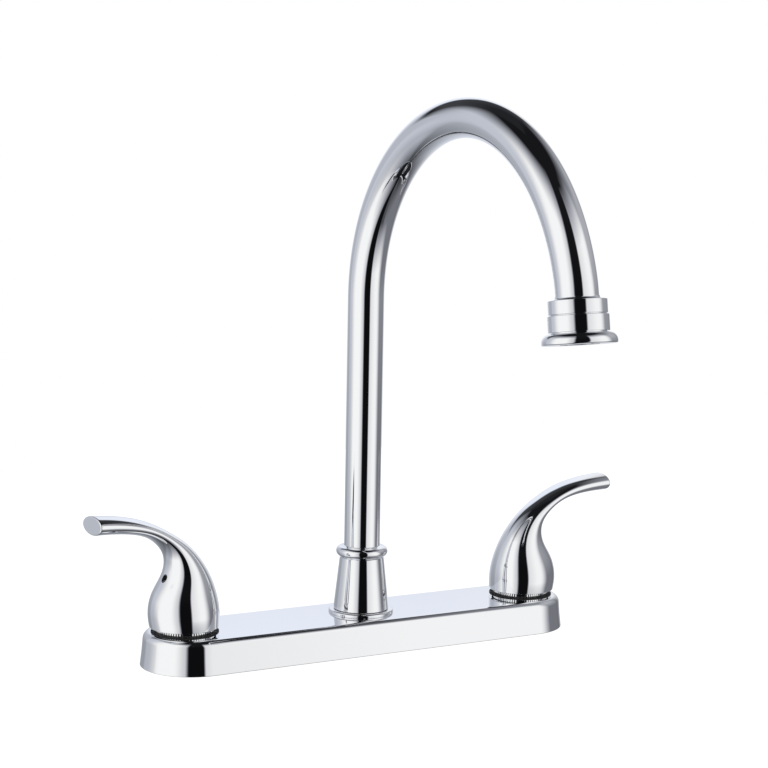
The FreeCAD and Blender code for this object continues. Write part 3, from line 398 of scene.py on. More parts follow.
def draw_outline(name, corners, middle=Vector(), across=Vector((1, 0, 0)), closed=True):
    """Draw an outline in millimetres in the plane of across and up, and leave it selected."""
    def spot(flat):
        return (middle + across * flat.x + UP * flat.y) * MM

    flats = [Vector(corner[:2]) for corner in corners]
    piece = start_point(name, spot(flats[0]))
    stops = list(range(1, len(corners))) + ([0] if closed and len(corners[0]) > 2 else [])
    for stop in stops:
        start, end = flats[stop - 1], flats[stop]
        if len(corners[stop]) == 2:
            step = spot(end) - spot(start)
            bpy.ops.mesh.extrude_region_move(TRANSFORM_OT_translate={"value": step})
            continue
        centre, turn = arc_centre(start, end, *corners[stop][2:])
        steps = max(2, math.ceil(abs(turn) / ARC_STEP))
        bpy.ops.mesh.spin(steps=steps, angle=-turn, center=spot(centre), axis=across.cross(UP))
    bpy.ops.mesh.select_all(action="SELECT")
    if closed:
        join_ends()
    return piece


def join_ends():
    """Close an open line of edges, and leave all of it selected."""
    mesh = bmesh.from_edit_mesh(bpy.context.object.data)
    for vertex in mesh.verts:
        vertex.select = len(vertex.link_edges) == 1
    mesh.select_flush(False)
    if sum(vertex.select for vertex in mesh.verts) == 2:
        bmesh.update_edit_mesh(bpy.context.object.data)
        bpy.ops.mesh.edge_face_add()
    bpy.ops.mesh.select_all(action="SELECT")
    bpy.ops.mesh.remove_doubles(threshold=MERGE_DISTANCE)
    bpy.ops.mesh.select_all(action="SELECT")


# %% The lathe and the polish
LATHE_STEPS = 128
SHARP_ANGLE = math.radians(32)


def clean_shell():
    """Merge doubled points and turn every face outwards."""
    bpy.ops.mesh.select_all(action="SELECT")
    bpy.ops.mesh.remove_doubles(threshold=MERGE_DISTANCE)
    bpy.ops.mesh.normals_make_consistent(inside=False)
    bpy.ops.mesh.select_all(action="DESELECT")


def turn_on_lathe(steps=LATHE_STEPS):
    """Sweep the drawn outline once round the upright axis."""
    bpy.ops.mesh.select_all(action="SELECT")
    bpy.ops.mesh.spin(steps=steps, angle=math.tau, center=(0, 0, 0), axis=UP)
    clean_shell()
    finish_drawing()


def choose(piece):
    clear_selection()
    piece.select_set(True)
    bpy.context.view_layer.objects.active = piece


def apply_modifier(piece, kind, **settings):
    choose(piece)
    modifier = piece.modifiers.new(kind.lower(), kind)
    for name, value in settings.items():
        setattr(modifier, name, value)
    bpy.ops.object.modifier_apply(modifier=modifier.name)


def polish(piece, material, sharp=SHARP_ANGLE):
    """Smooth shading with crisp edges, even across the flats, and the piece's finish."""
    choose(piece)
    bpy.ops.object.shade_smooth_by_angle(angle=sharp)
    apply_modifier(piece, "WEIGHTED_NORMAL", keep_sharp=True)
    if not piece.data.materials:
        piece.data.materials.append(material)
    return piece


def fit(piece, body, slot, *replaced):
    """Let a finished piece ride with its body in place of the plain pieces of the frame."""
    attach(piece, body)
    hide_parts(*replaced)
    low, high = (Vector(corner) / MM for corner in mesh_box(piece))
    size = high - low
    print(f"{piece.name}: {len(piece.data.polygons)} faces, "
          f"{size.x:.1f} x {size.y:.1f} x {size.z:.1f} mm, from z {low.z:.1f}")


def mesh_box(piece):
    corners = [vertex.co for vertex in piece.data.vertices]
    low = [min(corner[axis] for corner in corners) for axis in range(3)]
    high = [max(corner[axis] for corner in corners) for axis in range(3)]
    return low, high


# %% [markdown]
# ## The deck cover
#
# The cover is pressed from one sheet: a flat top, a rolled edge and walls that lean out a little
# towards the foot and hide the gasket. Seen from above it is a straight strip with round ends.
# So its wall is drawn once, from the middle of an end outwards and back under. Spinning it half
# a turn makes one end, extruding the last line makes a long side, and the same again closes the
# loop. Three round holes are then cut through the top.

# %% Press the cover
COVER_LENGTH = 248.0
COVER_WIDTH = 53.2
COVER_TOP = 17.3
COVER_WALL = 1.5
COVER_EDGE = 3.8
COVER_FLARE = 1.35
COVER_DRAFT = math.radians(3.5)
FOOT_TOP = 0.4
FOOT_LIP = 0.3
HANDLE_X = 101.6
NECK_HOLE = 11.8
POST_HOLE = 10.3
COVER_END = COVER_LENGTH / 2 - COVER_WIDTH / 2
END_STEPS = 72


def cover_wall():
    """The wall's section from the middle line outwards, over the edge and back inside."""
    half = COVER_WIDTH / 2 - COVER_FLARE
    foot = half + COVER_FLARE
    lean, plumb = math.sin(COVER_DRAFT), math.cos(COVER_DRAFT)
    brow = COVER_TOP - COVER_EDGE + COVER_EDGE * lean
    rise = brow - FOOT_TOP
    flare = (COVER_FLARE ** 2 + rise ** 2) / (2 * (COVER_FLARE * plumb - rise * lean))
    inside = half - COVER_WALL
    inner_edge = COVER_EDGE - COVER_WALL
    underside = COVER_TOP - COVER_WALL
    return [
        (0, COVER_TOP),
        (half - COVER_EDGE * plumb, COVER_TOP),
        (half, brow, COVER_EDGE, -1),
        (foot, FOOT_TOP, flare, 1),
        (foot - FOOT_LIP, 0, FOOT_LIP, -1),
        (inside, 0),
        (inside, underside - inner_edge),
        (inside - inner_edge, underside, inner_edge, 1),
        (0, underside),
    ]


def deck_cover():
    front = Vector((0, -1, 0))
    piece = draw_outline("deck_cover_shell", cover_wall(), Vector((COVER_END, 0, 0)), front,
                         closed=False)
    for end in (1, -1):
        middle = (COVER_END * end * MM, 0, 0)
        bpy.ops.mesh.spin(steps=END_STEPS, angle=-math.pi, center=middle, axis=UP)
        step = (-2 * COVER_END * end * MM, 0, 0)
        bpy.ops.mesh.extrude_region_move(TRANSFORM_OT_translate={"value": step})
    clean_shell()
    finish_drawing()
    for x, radius in ((-HANDLE_X, NECK_HOLE), (0, POST_HOLE), (HANDLE_X, NECK_HOLE)):
        cut_hole(piece, (x, 0, COVER_TOP), radius, COVER_WALL * 4)
    return polish(piece, sheet_chrome)


def cut_hole(piece, place, radius, depth, axis=UP, sides=96):
    """Cut a round hole with a drill that is thrown away afterwards; sizes in millimetres."""
    clear_selection()
    turn = axis.to_track_quat("Z", "Y").to_euler()
    bpy.ops.mesh.primitive_cylinder_add(vertices=sides, radius=radius * MM, depth=depth * MM,
                                        location=Vector(place) * MM, rotation=turn)
    drill = bpy.context.object
    apply_modifier(piece, "BOOLEAN", operation="DIFFERENCE", object=drill, solver="EXACT")
    bpy.data.objects.remove(drill)


fit(deck_cover(), "base", "chrome", "deck_cover")

# %% [markdown]
# ## The serrated lock nuts
#
# Each valve's neck comes up through the cover and a round nut clamps the cover to it, with a flat
# black washer between them. The nut's rim is cut with fine upright grooves for the tool that
# tightens it, and they show as a row of bright teeth under the handle. The ring is turned with
# four columns of points for every groove, and one column in four is pushed in.

# %% Turn the lock nuts
WASHER_THICKNESS = 0.4
NUT_RADIUS = 15.0
NUT_BORE = 11.55
NUT_HEIGHT = 3.8
NUT_EDGE = 0.25
NUT_LOW = COVER_TOP + WASHER_THICKNESS
GROOVE_COUNT = 72
GROOVE_DEPTH = 0.35
COLUMNS_PER_GROOVE = 4


def lock_nut():
    top = NUT_LOW + NUT_HEIGHT
    piece = draw_outline("lock_nut", [
        (NUT_BORE, NUT_LOW),
        (NUT_RADIUS, NUT_LOW),
        (NUT_RADIUS, top - NUT_EDGE),
        (NUT_RADIUS - NUT_EDGE, top),
        (NUT_BORE, top),
    ])
    turn_on_lathe(GROOVE_COUNT * COLUMNS_PER_GROOVE)
    choose(piece)
    bpy.ops.object.mode_set(mode="EDIT")
    bpy.ops.mesh.select_all(action="DESELECT")
    mesh = bmesh.from_edit_mesh(piece.data)
    step = math.tau / (GROOVE_COUNT * COLUMNS_PER_GROOVE)
    for vertex in mesh.verts:
        column = round(math.atan2(vertex.co.y, vertex.co.x) / step)
        rim = vertex.co.xy.length > (NUT_RADIUS - 2 * NUT_EDGE) * MM
        vertex.select = rim and column % COLUMNS_PER_GROOVE == 0
    mesh.select_flush(True)
    bmesh.update_edit_mesh(piece.data)
    share = 1 - GROOVE_DEPTH / NUT_RADIUS
    bpy.ops.transform.resize(value=(share, share, 1), center_override=(0, 0, 0))
    finish_drawing()
    return piece


def copy_piece(piece, name, shift=(0, 0, 0), turn=0.0):
    """A copy with its own mesh, turned about the upright axis and moved, in millimetres."""
    choose(piece)
    bpy.ops.object.duplicate()
    twin = bpy.context.object
    twin.name = name
    twin.data.name = name
    twin.location = Vector(shift) * MM
    twin.rotation_euler.z = turn
    bpy.ops.object.transform_apply(location=True, rotation=True, scale=True)
    return twin


nut = polish(lock_nut(), cast_chrome)
for side, label in ((-1, "hot"), (1, "cold")):
    twin = copy_piece(nut, f"{label}_serrated_nut", (HANDLE_X * side, 0, 0))
    fit(twin, "base", "chrome", f"{label}_cover_lock_nut")
bpy.data.objects.remove(nut)

# %% [markdown]
# ## The spout's foot: base ring and hub
#
# A thin round-edged ring clamps the cover to the spout's post. A glide washer lies in its recess,
# and the hub stands on that and turns with the spout: a cone that ends in a rounded bead. Only
# a fine dark line shows between hub and ring. Both are turned.
# The bead's undercut is kept sharp, because it shows as a fine dark line.

# %% Turn the base ring
RING_FOOT = 17.0
RING_RADIUS = 17.35
RING_BEVEL = 0.35
RING_HEIGHT = 1.85
RING_EDGE = 1.2
RING_BORE = 10.05
RECESS_RADIUS = 13.85
RECESS_DEPTH = 0.5
RING_TOP = COVER_TOP + RING_HEIGHT

base_ring = draw_outline("spout_foot_ring", [
    (RING_BORE, COVER_TOP),
    (RING_FOOT, COVER_TOP),
    (RING_RADIUS, COVER_TOP + RING_BEVEL),
    (RING_RADIUS, RING_TOP - RING_EDGE),
    (RING_RADIUS - RING_EDGE, RING_TOP, RING_EDGE, 1),
    (RECESS_RADIUS, RING_TOP),
    (RECESS_RADIUS, RING_TOP - RECESS_DEPTH),
    (RING_BORE, RING_TOP - RECESS_DEPTH),
])
turn_on_lathe()
polish(base_ring, cast_chrome)
fit(base_ring, "base", "chrome", "spout_base_ring")

# %% Turn the hub
HUB_FOOT = 19.35
HUB_RADIUS = 14.7
HUB_NECK = 11.7
CONE_HEIGHT = 27.65
HUB_BORE = 10.06
HUB_EDGE = 0.25
BEAD_RADIUS = 13.7
BEAD_HEIGHT = 6.4
BEAD_ROUND = 2.6
HUB_LEDGE = 42.8
TUBE_FOOT = 44.0
TUBE_SOCKET = 9.55
TUBE_RADIUS = 9.5
TUBE_BORE = 8.3
SCREW_HEIGHT = 24.8
SCREW_HOLE = 2.05
SCREW_SIDES = 32


def spout_hub():
    bead_low = HUB_FOOT + CONE_HEIGHT
    bead_top = bead_low + BEAD_HEIGHT
    inset = (BEAD_HEIGHT - 2 * BEAD_ROUND) / 2
    piece = draw_outline("spout_cone", [
        (HUB_BORE, HUB_FOOT),
        (HUB_RADIUS - HUB_EDGE, HUB_FOOT),
        (HUB_RADIUS, HUB_FOOT + HUB_EDGE, HUB_EDGE, 1),
        (HUB_NECK, bead_low),
        (BEAD_RADIUS - BEAD_ROUND, bead_low + inset),
        (BEAD_RADIUS, bead_low + inset + BEAD_ROUND, BEAD_ROUND, 1),
        (BEAD_RADIUS - BEAD_ROUND, bead_top - inset, BEAD_ROUND, 1),
        (TUBE_SOCKET, bead_top),
        (TUBE_SOCKET, TUBE_FOOT),
        (TUBE_BORE, TUBE_FOOT),
        (TUBE_BORE, HUB_LEDGE),
        (HUB_BORE, HUB_LEDGE),
    ])
    turn_on_lathe()
    depth = HUB_RADIUS
    cut_hole(piece, (0, depth, SCREW_HEIGHT), SCREW_HOLE, depth, Vector((0, 1, 0)), SCREW_SIDES)
    return polish(piece, cast_chrome)


fit(spout_hub(), "spout", "chrome", "spout_hub")

# %% [markdown]
# ## The gooseneck
#
# The spout is one drawn tube, bent in three stretches of different radius. A pipe along a curve
# would do, but extruding a ring up the riser and spinning it about each bend's centre gives true
# arcs and rings that stay square to the tube. The wall is added last, so the open ends show a
# real thickness.

# %% Bend the tube
RISER_TOP = 184.9
BENDS = ((88.5, 36.0), (97.2, 164.0), (55.0, 171.5))
TUBE_SIDES = 96
BEND_STEP = 1.5
OUTLET_TILT = 8.5
TUBE_STRAIGHT = 2.1
TUBE_INSERT = 4.6


def outlet_direction():
    tilt = math.radians(OUTLET_TILT)
    return Vector((0, -math.sin(tilt), -math.cos(tilt)))


def spout_tube():
    clear_selection()
    bpy.ops.mesh.primitive_circle_add(vertices=TUBE_SIDES, radius=TUBE_RADIUS * MM,
                                      location=(0, 0, 0))
    piece = bpy.context.object
    piece.name = "gooseneck_tube"
    bpy.ops.object.mode_set(mode="EDIT")
    bpy.ops.mesh.select_all(action="SELECT")
    bpy.ops.transform.translate(value=(0, 0, TUBE_FOOT * MM))
    rise = (0, 0, (RISER_TOP - TUBE_FOOT) * MM)
    bpy.ops.mesh.extrude_region_move(TRANSFORM_OT_translate={"value": rise})
    place = Vector((0, 0, RISER_TOP))
    lean = 0.0
    for radius, end_lean in BENDS:
        turn = math.radians(end_lean) - lean
        centre = place - Vector((0, math.cos(lean), math.sin(lean))) * radius
        steps = max(2, round(math.degrees(turn) / BEND_STEP))
        bpy.ops.mesh.spin(steps=steps, angle=-turn, center=centre * MM, axis=(1, 0, 0))
        lean = math.radians(end_lean)
        place = centre + Vector((0, math.cos(lean), math.sin(lean))) * radius
    step = outlet_direction() * (TUBE_STRAIGHT + TUBE_INSERT) * MM
    bpy.ops.mesh.extrude_region_move(TRANSFORM_OT_translate={"value": step})
    clean_shell()
    finish_drawing()
    apply_modifier(piece, "SOLIDIFY", thickness=(TUBE_RADIUS - TUBE_BORE) * MM, offset=-1)
    return polish(piece, drawn_chrome), place + outlet_direction() * TUBE_STRAIGHT


tube, COLLAR_TOP = spout_tube()
fit(tube, "spout", "chrome", "spout_tube")
print(f"the collar starts at y {COLLAR_TOP.y:.2f}, z {COLLAR_TOP.z:.2f}")

# %% [markdown]
# ## Collar and bell at the outlet
#
# A collar with a small hollow neck is brazed on the tube's end, and the aerator's housing screws
# onto it: a ring of almost the same width, a narrow waist and a round-shouldered bell. A shoulder
# inside the parting line keeps it shallow. They are turned upright at the origin, like all lathe
# work, and then tilted and moved to the tube's end. The edges beside the parting line are broken
# by three tenths of a millimetre, which is what makes it catch light.

# %% Turn the collar and the aerator housing
COLLAR_RADIUS = 13.0
COLLAR_HEIGHT = 6.2
COLLAR_EDGE = 0.3
NECK_HEIGHT = 1.6
NECK_REACH = 1.2
NECK_WALL = 0.2
NIPPLE_RADIUS = 11.0
NIPPLE_LENGTH = 6.0
PARTING_GAP = 0.4
PARTING_DEPTH = 0.5
AERATOR_RADIUS = 13.5
AERATOR_HEIGHT = 7.3
WAIST_RADIUS = 12.2
WAIST_HEIGHT = 0.5
LIP_RADIUS = 16.7
LIP_HEIGHT = 4.95
LIP_SKIRT = 1.2
LIP_EDGE = 0.7
INNER_LIP = 8.8
INNER_LIP_HEIGHT = 0.8
INSERT_BORE = 9.6
FLANGE_FOOT = 14.95
THREAD_GAP = 0.05


def tilt_to_outlet(piece):
    """Tilt a piece that was turned at the origin and put its top at the tube's end."""
    choose(piece)
    piece.rotation_euler.x = -math.radians(OUTLET_TILT)
    piece.location = COLLAR_TOP * MM
    bpy.ops.object.transform_apply(location=True, rotation=True, scale=True)
    return piece


def collar():
    nipple_foot = COLLAR_HEIGHT + NIPPLE_LENGTH
    neck = TUBE_SOCKET + NECK_WALL
    hollow = (NECK_REACH ** 2 + NECK_HEIGHT ** 2) / (2 * NECK_REACH)
    piece = draw_outline("outlet_collar", [
        (TUBE_SOCKET, NECK_HEIGHT),
        (TUBE_SOCKET, -TUBE_INSERT),
        (TUBE_BORE, -TUBE_INSERT),
        (TUBE_BORE, -nipple_foot),
        (NIPPLE_RADIUS, -nipple_foot),
        (NIPPLE_RADIUS, -COLLAR_HEIGHT),
        (COLLAR_RADIUS - COLLAR_EDGE, -COLLAR_HEIGHT),
        (COLLAR_RADIUS, COLLAR_EDGE - COLLAR_HEIGHT, COLLAR_EDGE, 1),
        (COLLAR_RADIUS, -COLLAR_EDGE),
        (COLLAR_RADIUS - COLLAR_EDGE, 0, COLLAR_EDGE, 1),
        (neck + NECK_REACH, 0),
        (neck, NECK_HEIGHT, hollow, -1),
    ])
    turn_on_lathe()
    return polish(tilt_to_outlet(piece), cast_chrome)


def aerator_housing():
    top = COLLAR_HEIGHT + PARTING_GAP
    ring_foot = top + AERATOR_HEIGHT
    waist_foot = ring_foot + WAIST_HEIGHT
    lip_foot = waist_foot + LIP_HEIGHT
    rise = LIP_HEIGHT - LIP_SKIRT
    reach = LIP_RADIUS - WAIST_RADIUS
    bell = (reach ** 2 + rise ** 2) / (2 * reach)
    thread = NIPPLE_RADIUS + THREAD_GAP
    inner_lip = lip_foot - INNER_LIP_HEIGHT
    groove = COLLAR_RADIUS - PARTING_DEPTH
    groove_top = COLLAR_HEIGHT + THREAD_GAP
    piece = draw_outline("aerator_bell", [
        (thread, -groove_top),
        (thread, -FLANGE_FOOT),
        (INSERT_BORE, -FLANGE_FOOT),
        (INSERT_BORE, -inner_lip),
        (INNER_LIP, -inner_lip),
        (INNER_LIP, -lip_foot),
        (LIP_RADIUS - LIP_EDGE, -lip_foot),
        (LIP_RADIUS, LIP_EDGE - lip_foot, LIP_EDGE, 1),
        (LIP_RADIUS, LIP_SKIRT - lip_foot),
        (WAIST_RADIUS, -waist_foot, bell, 1),
        (WAIST_RADIUS, -ring_foot),
        (AERATOR_RADIUS - COLLAR_EDGE, -ring_foot),
        (AERATOR_RADIUS, COLLAR_EDGE - ring_foot, COLLAR_EDGE, 1),
        (AERATOR_RADIUS, -top - COLLAR_EDGE),
        (AERATOR_RADIUS - COLLAR_EDGE, -top, COLLAR_EDGE, 1),
        (groove, -top),
        (groove, -groove_top),
    ])
    turn_on_lathe()
    return polish(tilt_to_outlet(piece), cast_chrome)


fit(collar(), "spout", "chrome", "spout_collar")
fit(aerator_housing(), "spout", "chrome", "aerator_housing")

# %% [markdown]
# ## The lever handles
#
# Each handle is one zinc casting: a bell that covers the valve, a waist, and a lever that sweeps
# outwards and ends in a flat cut. No outline spins into that, so it is lofted. A ring of points
# is extruded from station to station, and at each it is resized, turned and moved to fit.
#
# Twelve stations carry the shape. Each gives the distance out from the valve's axis, the height,
# the lean of the ring, its thickness in the plane of the sweep and its width across. Smooth
# curves through these twelve give the rings between them.

# %% The handle's stations
STATIONS = (
    # out, up, lean, thick, wide
    (0.3, 20.1, 0.0, 35.6, 35.6),
    (0.8, 27.0, 0.0, 36.5, 36.2),
    (0.6, 35.6, -2.0, 34.0, 33.0),
    (0.4, 44.0, 4.0, 27.2, 27.0),
    (2.0, 52.0, 19.0, 19.2, 21.8),
    (6.1, 60.0, 38.0, 12.2, 18.7),
    (12.1, 65.8, 52.5, 8.7, 18.0),
    (19.3, 70.4, 63.0, 7.5, 17.8),
    (27.0, 73.5, 72.5, 7.7, 17.9),
    (35.2, 75.4, 80.0, 8.3, 18.1),
    (44.4, 76.6, 85.0, 8.9, 18.3),
    (53.4, 77.2, 88.0, 9.4, 18.5),
)
RINGS_PER_STATION = 5
RING_POINTS = 64


def smooth_through(knots, values):
    """How the smooth curve through these values bends at each knot (a natural spline)."""
    count = len(knots)
    gaps = [knots[i + 1] - knots[i] for i in range(count - 1)]
    lower, middle, upper, right = [0.0] * count, [1.0] * count, [0.0] * count, [0.0] * count
    for i in range(1, count - 1):
        lower[i], middle[i], upper[i] = gaps[i - 1], 2 * (gaps[i - 1] + gaps[i]), gaps[i]
        right[i] = 6 * ((values[i + 1] - values[i]) / gaps[i]
                        - (values[i] - values[i - 1]) / gaps[i - 1])
    for i in range(1, count):
        share = lower[i] / middle[i - 1]
        middle[i] -= share * upper[i - 1]
        right[i] -= share * right[i - 1]
    bends = [0.0] * count
    for i in range(count - 2, 0, -1):
        bends[i] = (right[i] - upper[i] * bends[i + 1]) / middle[i]
    return bends


def handle_rings():
    """All rings of the handle, foot to tip: the stations and the rings between them."""
    knots = [0.0]
    for before, after in zip(STATIONS, STATIONS[1:]):
        knots.append(knots[-1] + math.dist(before[:2], after[:2]))
    columns = list(zip(*STATIONS))
    bends = [smooth_through(knots, column) for column in columns]
    rings = []
    for i in range(len(STATIONS) - 1):
        gap = knots[i + 1] - knots[i]
        for step in range(RINGS_PER_STATION):
            b = step / RINGS_PER_STATION
            a = 1 - b
            rings.append(tuple(
                a * column[i] + b * column[i + 1]
                + ((a ** 3 - a) * bend[i] + (b ** 3 - b) * bend[i + 1]) * gap ** 2 / 6
                for column, bend in zip(columns, bends)))
    return rings + [STATIONS[-1]]


rings = handle_rings()
print(f"{len(rings)} rings of {RING_POINTS} points from foot to tip")

# %% Extrude a handle through its rings
TIP_EDGE = 0.7
FOOT_ROUND = 0.3
CAVITY_RADIUS = 15.9
CAVITY_ROOF = 31.4
STEP_RADIUS = 7.6
STEP_ROOF = 32.5
SOCKET_RADIUS = 4.05
SOCKET_TOP = 48.2
HANDLE_SCREW_HEIGHT = 46.0
HANDLE_DRILL_START = 10.0
HANDLE_DRILL_LENGTH = 24.0


def ring_frame(ring):
    """Place and directions of a ring: thickness, width and the way ahead."""
    out, up, lean, thick, wide = ring
    angle = math.radians(lean)
    turn = Matrix((
        (math.cos(angle), 0, math.sin(angle)),
        (0, 1, 0),
        (-math.sin(angle), 0, math.cos(angle)),
    ))
    size = Matrix.Diagonal((thick / 2, wide / 2, 1))
    return Vector((out, 0, up)) * MM, turn, size


def move_selected(change, before, after):
    """Carry the selected points from one ring's place to the next."""
    mesh = bmesh.from_edit_mesh(bpy.context.object.data)
    for vertex in mesh.verts:
        if vertex.select:
            vertex.co = after + change @ (vertex.co - before)
    bmesh.update_edit_mesh(bpy.context.object.data)


def select_where(test):
    """Select the points of the piece in edit mode for which the test of their place holds."""
    bpy.ops.mesh.select_all(action="DESELECT")
    mesh = bmesh.from_edit_mesh(bpy.context.object.data)
    for vertex in mesh.verts:
        vertex.select = test(vertex.co / MM)
    mesh.select_flush(True)
    bmesh.update_edit_mesh(bpy.context.object.data)


def lofted_handle():
    place, turn, size = ring_frame(rings[0])
    clear_selection()
    bpy.ops.mesh.primitive_circle_add(vertices=RING_POINTS, radius=rings[0][3] / 2 * MM)
    piece = bpy.context.object
    piece.name = "lever_handle"
    bpy.ops.object.mode_set(mode="EDIT")
    bpy.ops.mesh.select_all(action="SELECT")
    bpy.ops.transform.translate(value=place)
    for ring in rings[1:]:
        next_place, next_turn, next_size = ring_frame(ring)
        change = next_turn @ next_size @ size.inverted() @ turn.transposed()
        bpy.ops.mesh.extrude_region_move()
        move_selected(change, place, next_place)
        place, turn, size = next_place, next_turn, next_size
    bpy.ops.mesh.edge_face_add()
    return piece


def hollow_foot():
    """Turn the open foot inwards: a flat rim, the cavity, a step and the stem's socket."""
    foot = STATIONS[0][1]
    select_where(lambda place: abs(place.z - foot) < NEAR)
    out = STATIONS[0][0]
    centre = (out * MM, 0, foot * MM)

    def narrow(before, after):
        bpy.ops.mesh.extrude_region_move()
        share = after / before
        bpy.ops.transform.resize(value=(share, share, 1), center_override=centre)

    def deepen(height):
        bpy.ops.mesh.extrude_region_move(
            TRANSFORM_OT_translate={"value": (0, 0, height * MM)})

    narrow(STATIONS[0][3] / 2, CAVITY_RADIUS)
    bpy.ops.transform.translate(value=(-out * MM, 0, 0))
    centre = (0, 0, foot * MM)
    deepen(CAVITY_ROOF - foot)
    narrow(CAVITY_RADIUS, STEP_RADIUS)
    deepen(STEP_ROOF - CAVITY_ROOF)
    narrow(STEP_RADIUS, SOCKET_RADIUS)
    deepen(SOCKET_TOP - STEP_ROOF)
    bpy.ops.mesh.edge_face_add()


def round_edges(test, width, segments):
    """Bevel the edges whose two ends both pass the test."""
    bpy.ops.mesh.select_mode(type="EDGE")
    bpy.ops.mesh.select_all(action="DESELECT")
    mesh = bmesh.from_edit_mesh(bpy.context.object.data)
    for edge in mesh.edges:
        edge.select_set(all(test(vertex.co / MM) for vertex in edge.verts))
    bmesh.update_edit_mesh(bpy.context.object.data)
    bpy.ops.mesh.bevel(offset=width * MM, segments=segments, affect="EDGES", profile=0.5)
    bpy.ops.mesh.select_mode(type="VERT")


def lever_handle():
    piece = lofted_handle()
    hollow_foot()
    foot = STATIONS[0][1]
    rim = STATIONS[0][3] / 2
    foot_middle = Vector((STATIONS[0][0], 0))
    round_edges(lambda place: abs(place.z - foot) < NEAR
                and (place.xy - foot_middle).length > rim - 0.1, FOOT_ROUND, 6)
    tip, turn, _ = ring_frame(STATIONS[-1])
    ahead = turn @ Vector((0, 0, 1))
    round_edges(lambda place: abs((place - tip / MM).dot(ahead)) < NEAR, TIP_EDGE, 5)
    clean_shell()
    finish_drawing()
    cut_hole(piece, (HANDLE_DRILL_START + SOCKET_RADIUS, 0, HANDLE_SCREW_HEIGHT), SCREW_HOLE,
             HANDLE_DRILL_LENGTH, Vector((1, 0, 0)), SCREW_SIDES)
    return piece


# %% [markdown]
# The inside of the casting isn't plated to a mirror and has a rough grain. Its near-black colour
# is painted shade, the deep shadow under each handle, painted into the cavity. The faces of the
# cavity get this second finish.

# %% Colour the inside of the handles with painted shade
# near-black colours: painted shade for the handle's cavity
CAVITY_SHADE_COLOURS = ((0.035, 0.036, 0.04), (0.09, 0.09, 0.1))


def cavity_grain_and_painted_shade():
    material = plain_material("cavity_casting_painted_shade")
    tree = Tree(material.node_tree)
    place = tree.node("ShaderNodeTexCoord").outputs["Object"]
    grain = tree.noise(place, 900.0, 5.0, 0.65)
    # the colour is painted shade, near-black so that the cavity shows as deep shadow
    colour = tree.blend(tree.span(grain, 0.3, 0.7), *CAVITY_SHADE_COLOURS)
    bump = tree.node("ShaderNodeBump", {"Strength": 0.35, "Distance": 0.1 * MM, "Height": grain})
    sockets = {"Base Color": colour, "Metallic": 0.6, "Roughness": 0.6,
               "Normal": bump.outputs[0]}
    shader = tree.node("ShaderNodeBsdfPrincipled", sockets)
    tree.node("ShaderNodeOutputMaterial", {0: shader.outputs[0]})
    return material


def paint_shade_inside(piece):
    """Give the faces inside the bell the second finish: a rough grain and a near-black painted
    shade.
    """
    piece.data.materials.append(cast_chrome)
    piece.data.materials.append(cavity_grain_and_painted_shade())
    choose(piece)
    bpy.ops.object.mode_set(mode="EDIT")
    bpy.ops.mesh.select_mode(type="FACE")
    bpy.ops.mesh.select_all(action="DESELECT")
    mesh = bmesh.from_edit_mesh(piece.data)
    for face in mesh.faces:
        middle = face.calc_center_median() / MM
        near = middle.xy.length < CAVITY_RADIUS + NEAR
        face.select_set(near and middle.z < SOCKET_TOP + NEAR and facing_in(face, middle))
    bmesh.update_edit_mesh(piece.data)
    piece.active_material_index = 1
    bpy.ops.object.material_slot_assign()
    bpy.ops.mesh.select_mode(type="VERT")
    finish_drawing()
    return piece


def facing_in(face, middle):
    """True for walls that face the axis and for ceilings that face down."""
    inward = face.normal.xy.dot(middle.xy) < 0 and abs(face.normal.z) < 0.5
    return inward or (face.normal.z < -0.9 and middle.z > STATIONS[0][1] + 1)


HOT_OPENING = 8.8  # degrees, as the hot lever stands a little open
HOT_TURN = 180 + HOT_OPENING

# the faces in the handle's cavity get the near-black painted shade
handle = polish(paint_shade_inside(lever_handle()), cast_chrome)
for side, label in ((-1, "hot"), (1, "cold")):
    turn = 0.0 if side > 0 else math.radians(HOT_TURN)
    twin = copy_piece(handle, f"{label}_lever_handle", (HANDLE_X * side, 0, 0), turn)
    fit(twin, f"{label}_lever", "chrome", f"{label}_handle")
bpy.data.objects.remove(handle)

# %% [markdown]
# ## The pieces inside and under the deck
#
# The working parts keep the frame's own shapes and get the finish of the stuff they are made of:
# machined brass, drawn copper, brushed steel, rubber, foam, ceramic and two plastics. Each
# finish has its grain at real scale, read from the piece's own place in space.

# %% Machined brass, copper and steel


def metal(name, colours, roughness, grain_scale, lathe_rings=0.0, bump_strength=0.2):
    """Bare metal: two close colours, and fine marks of the tool round the upright axis."""
    material = plain_material(name)
    tree = Tree(material.node_tree)
    place = tree.node("ShaderNodeTexCoord").outputs["Object"]
    stain = tree.noise(place, 60.0, 4.0, 0.6)
    grain = tree.noise(place, grain_scale, 3.0, 0.5)
    height = grain
    if lathe_rings:
        rings_node = tree.node("ShaderNodeTexWave", {"Vector": place, "Scale": lathe_rings,
                                                     "Distortion": 0.4},
                               wave_type="BANDS", bands_direction="Z")
        height = tree.math("ADD", tree.math("MULTIPLY", grain, 0.4), rings_node.outputs["Fac"])
    colour = tree.blend(tree.span(stain, 0.3, 0.75), *colours)
    bump = tree.node("ShaderNodeBump", {"Strength": bump_strength, "Distance": 0.03 * MM,
                                        "Height": height})
    sockets = {"Base Color": colour, "Metallic": 1.0,
               "Roughness": tree.span(grain, 0.3, 0.7, *roughness), "Normal": bump.outputs[0]}
    shader = tree.node("ShaderNodeBsdfPrincipled", sockets)
    tree.node("ShaderNodeOutputMaterial", {0: shader.outputs[0]})
    return material


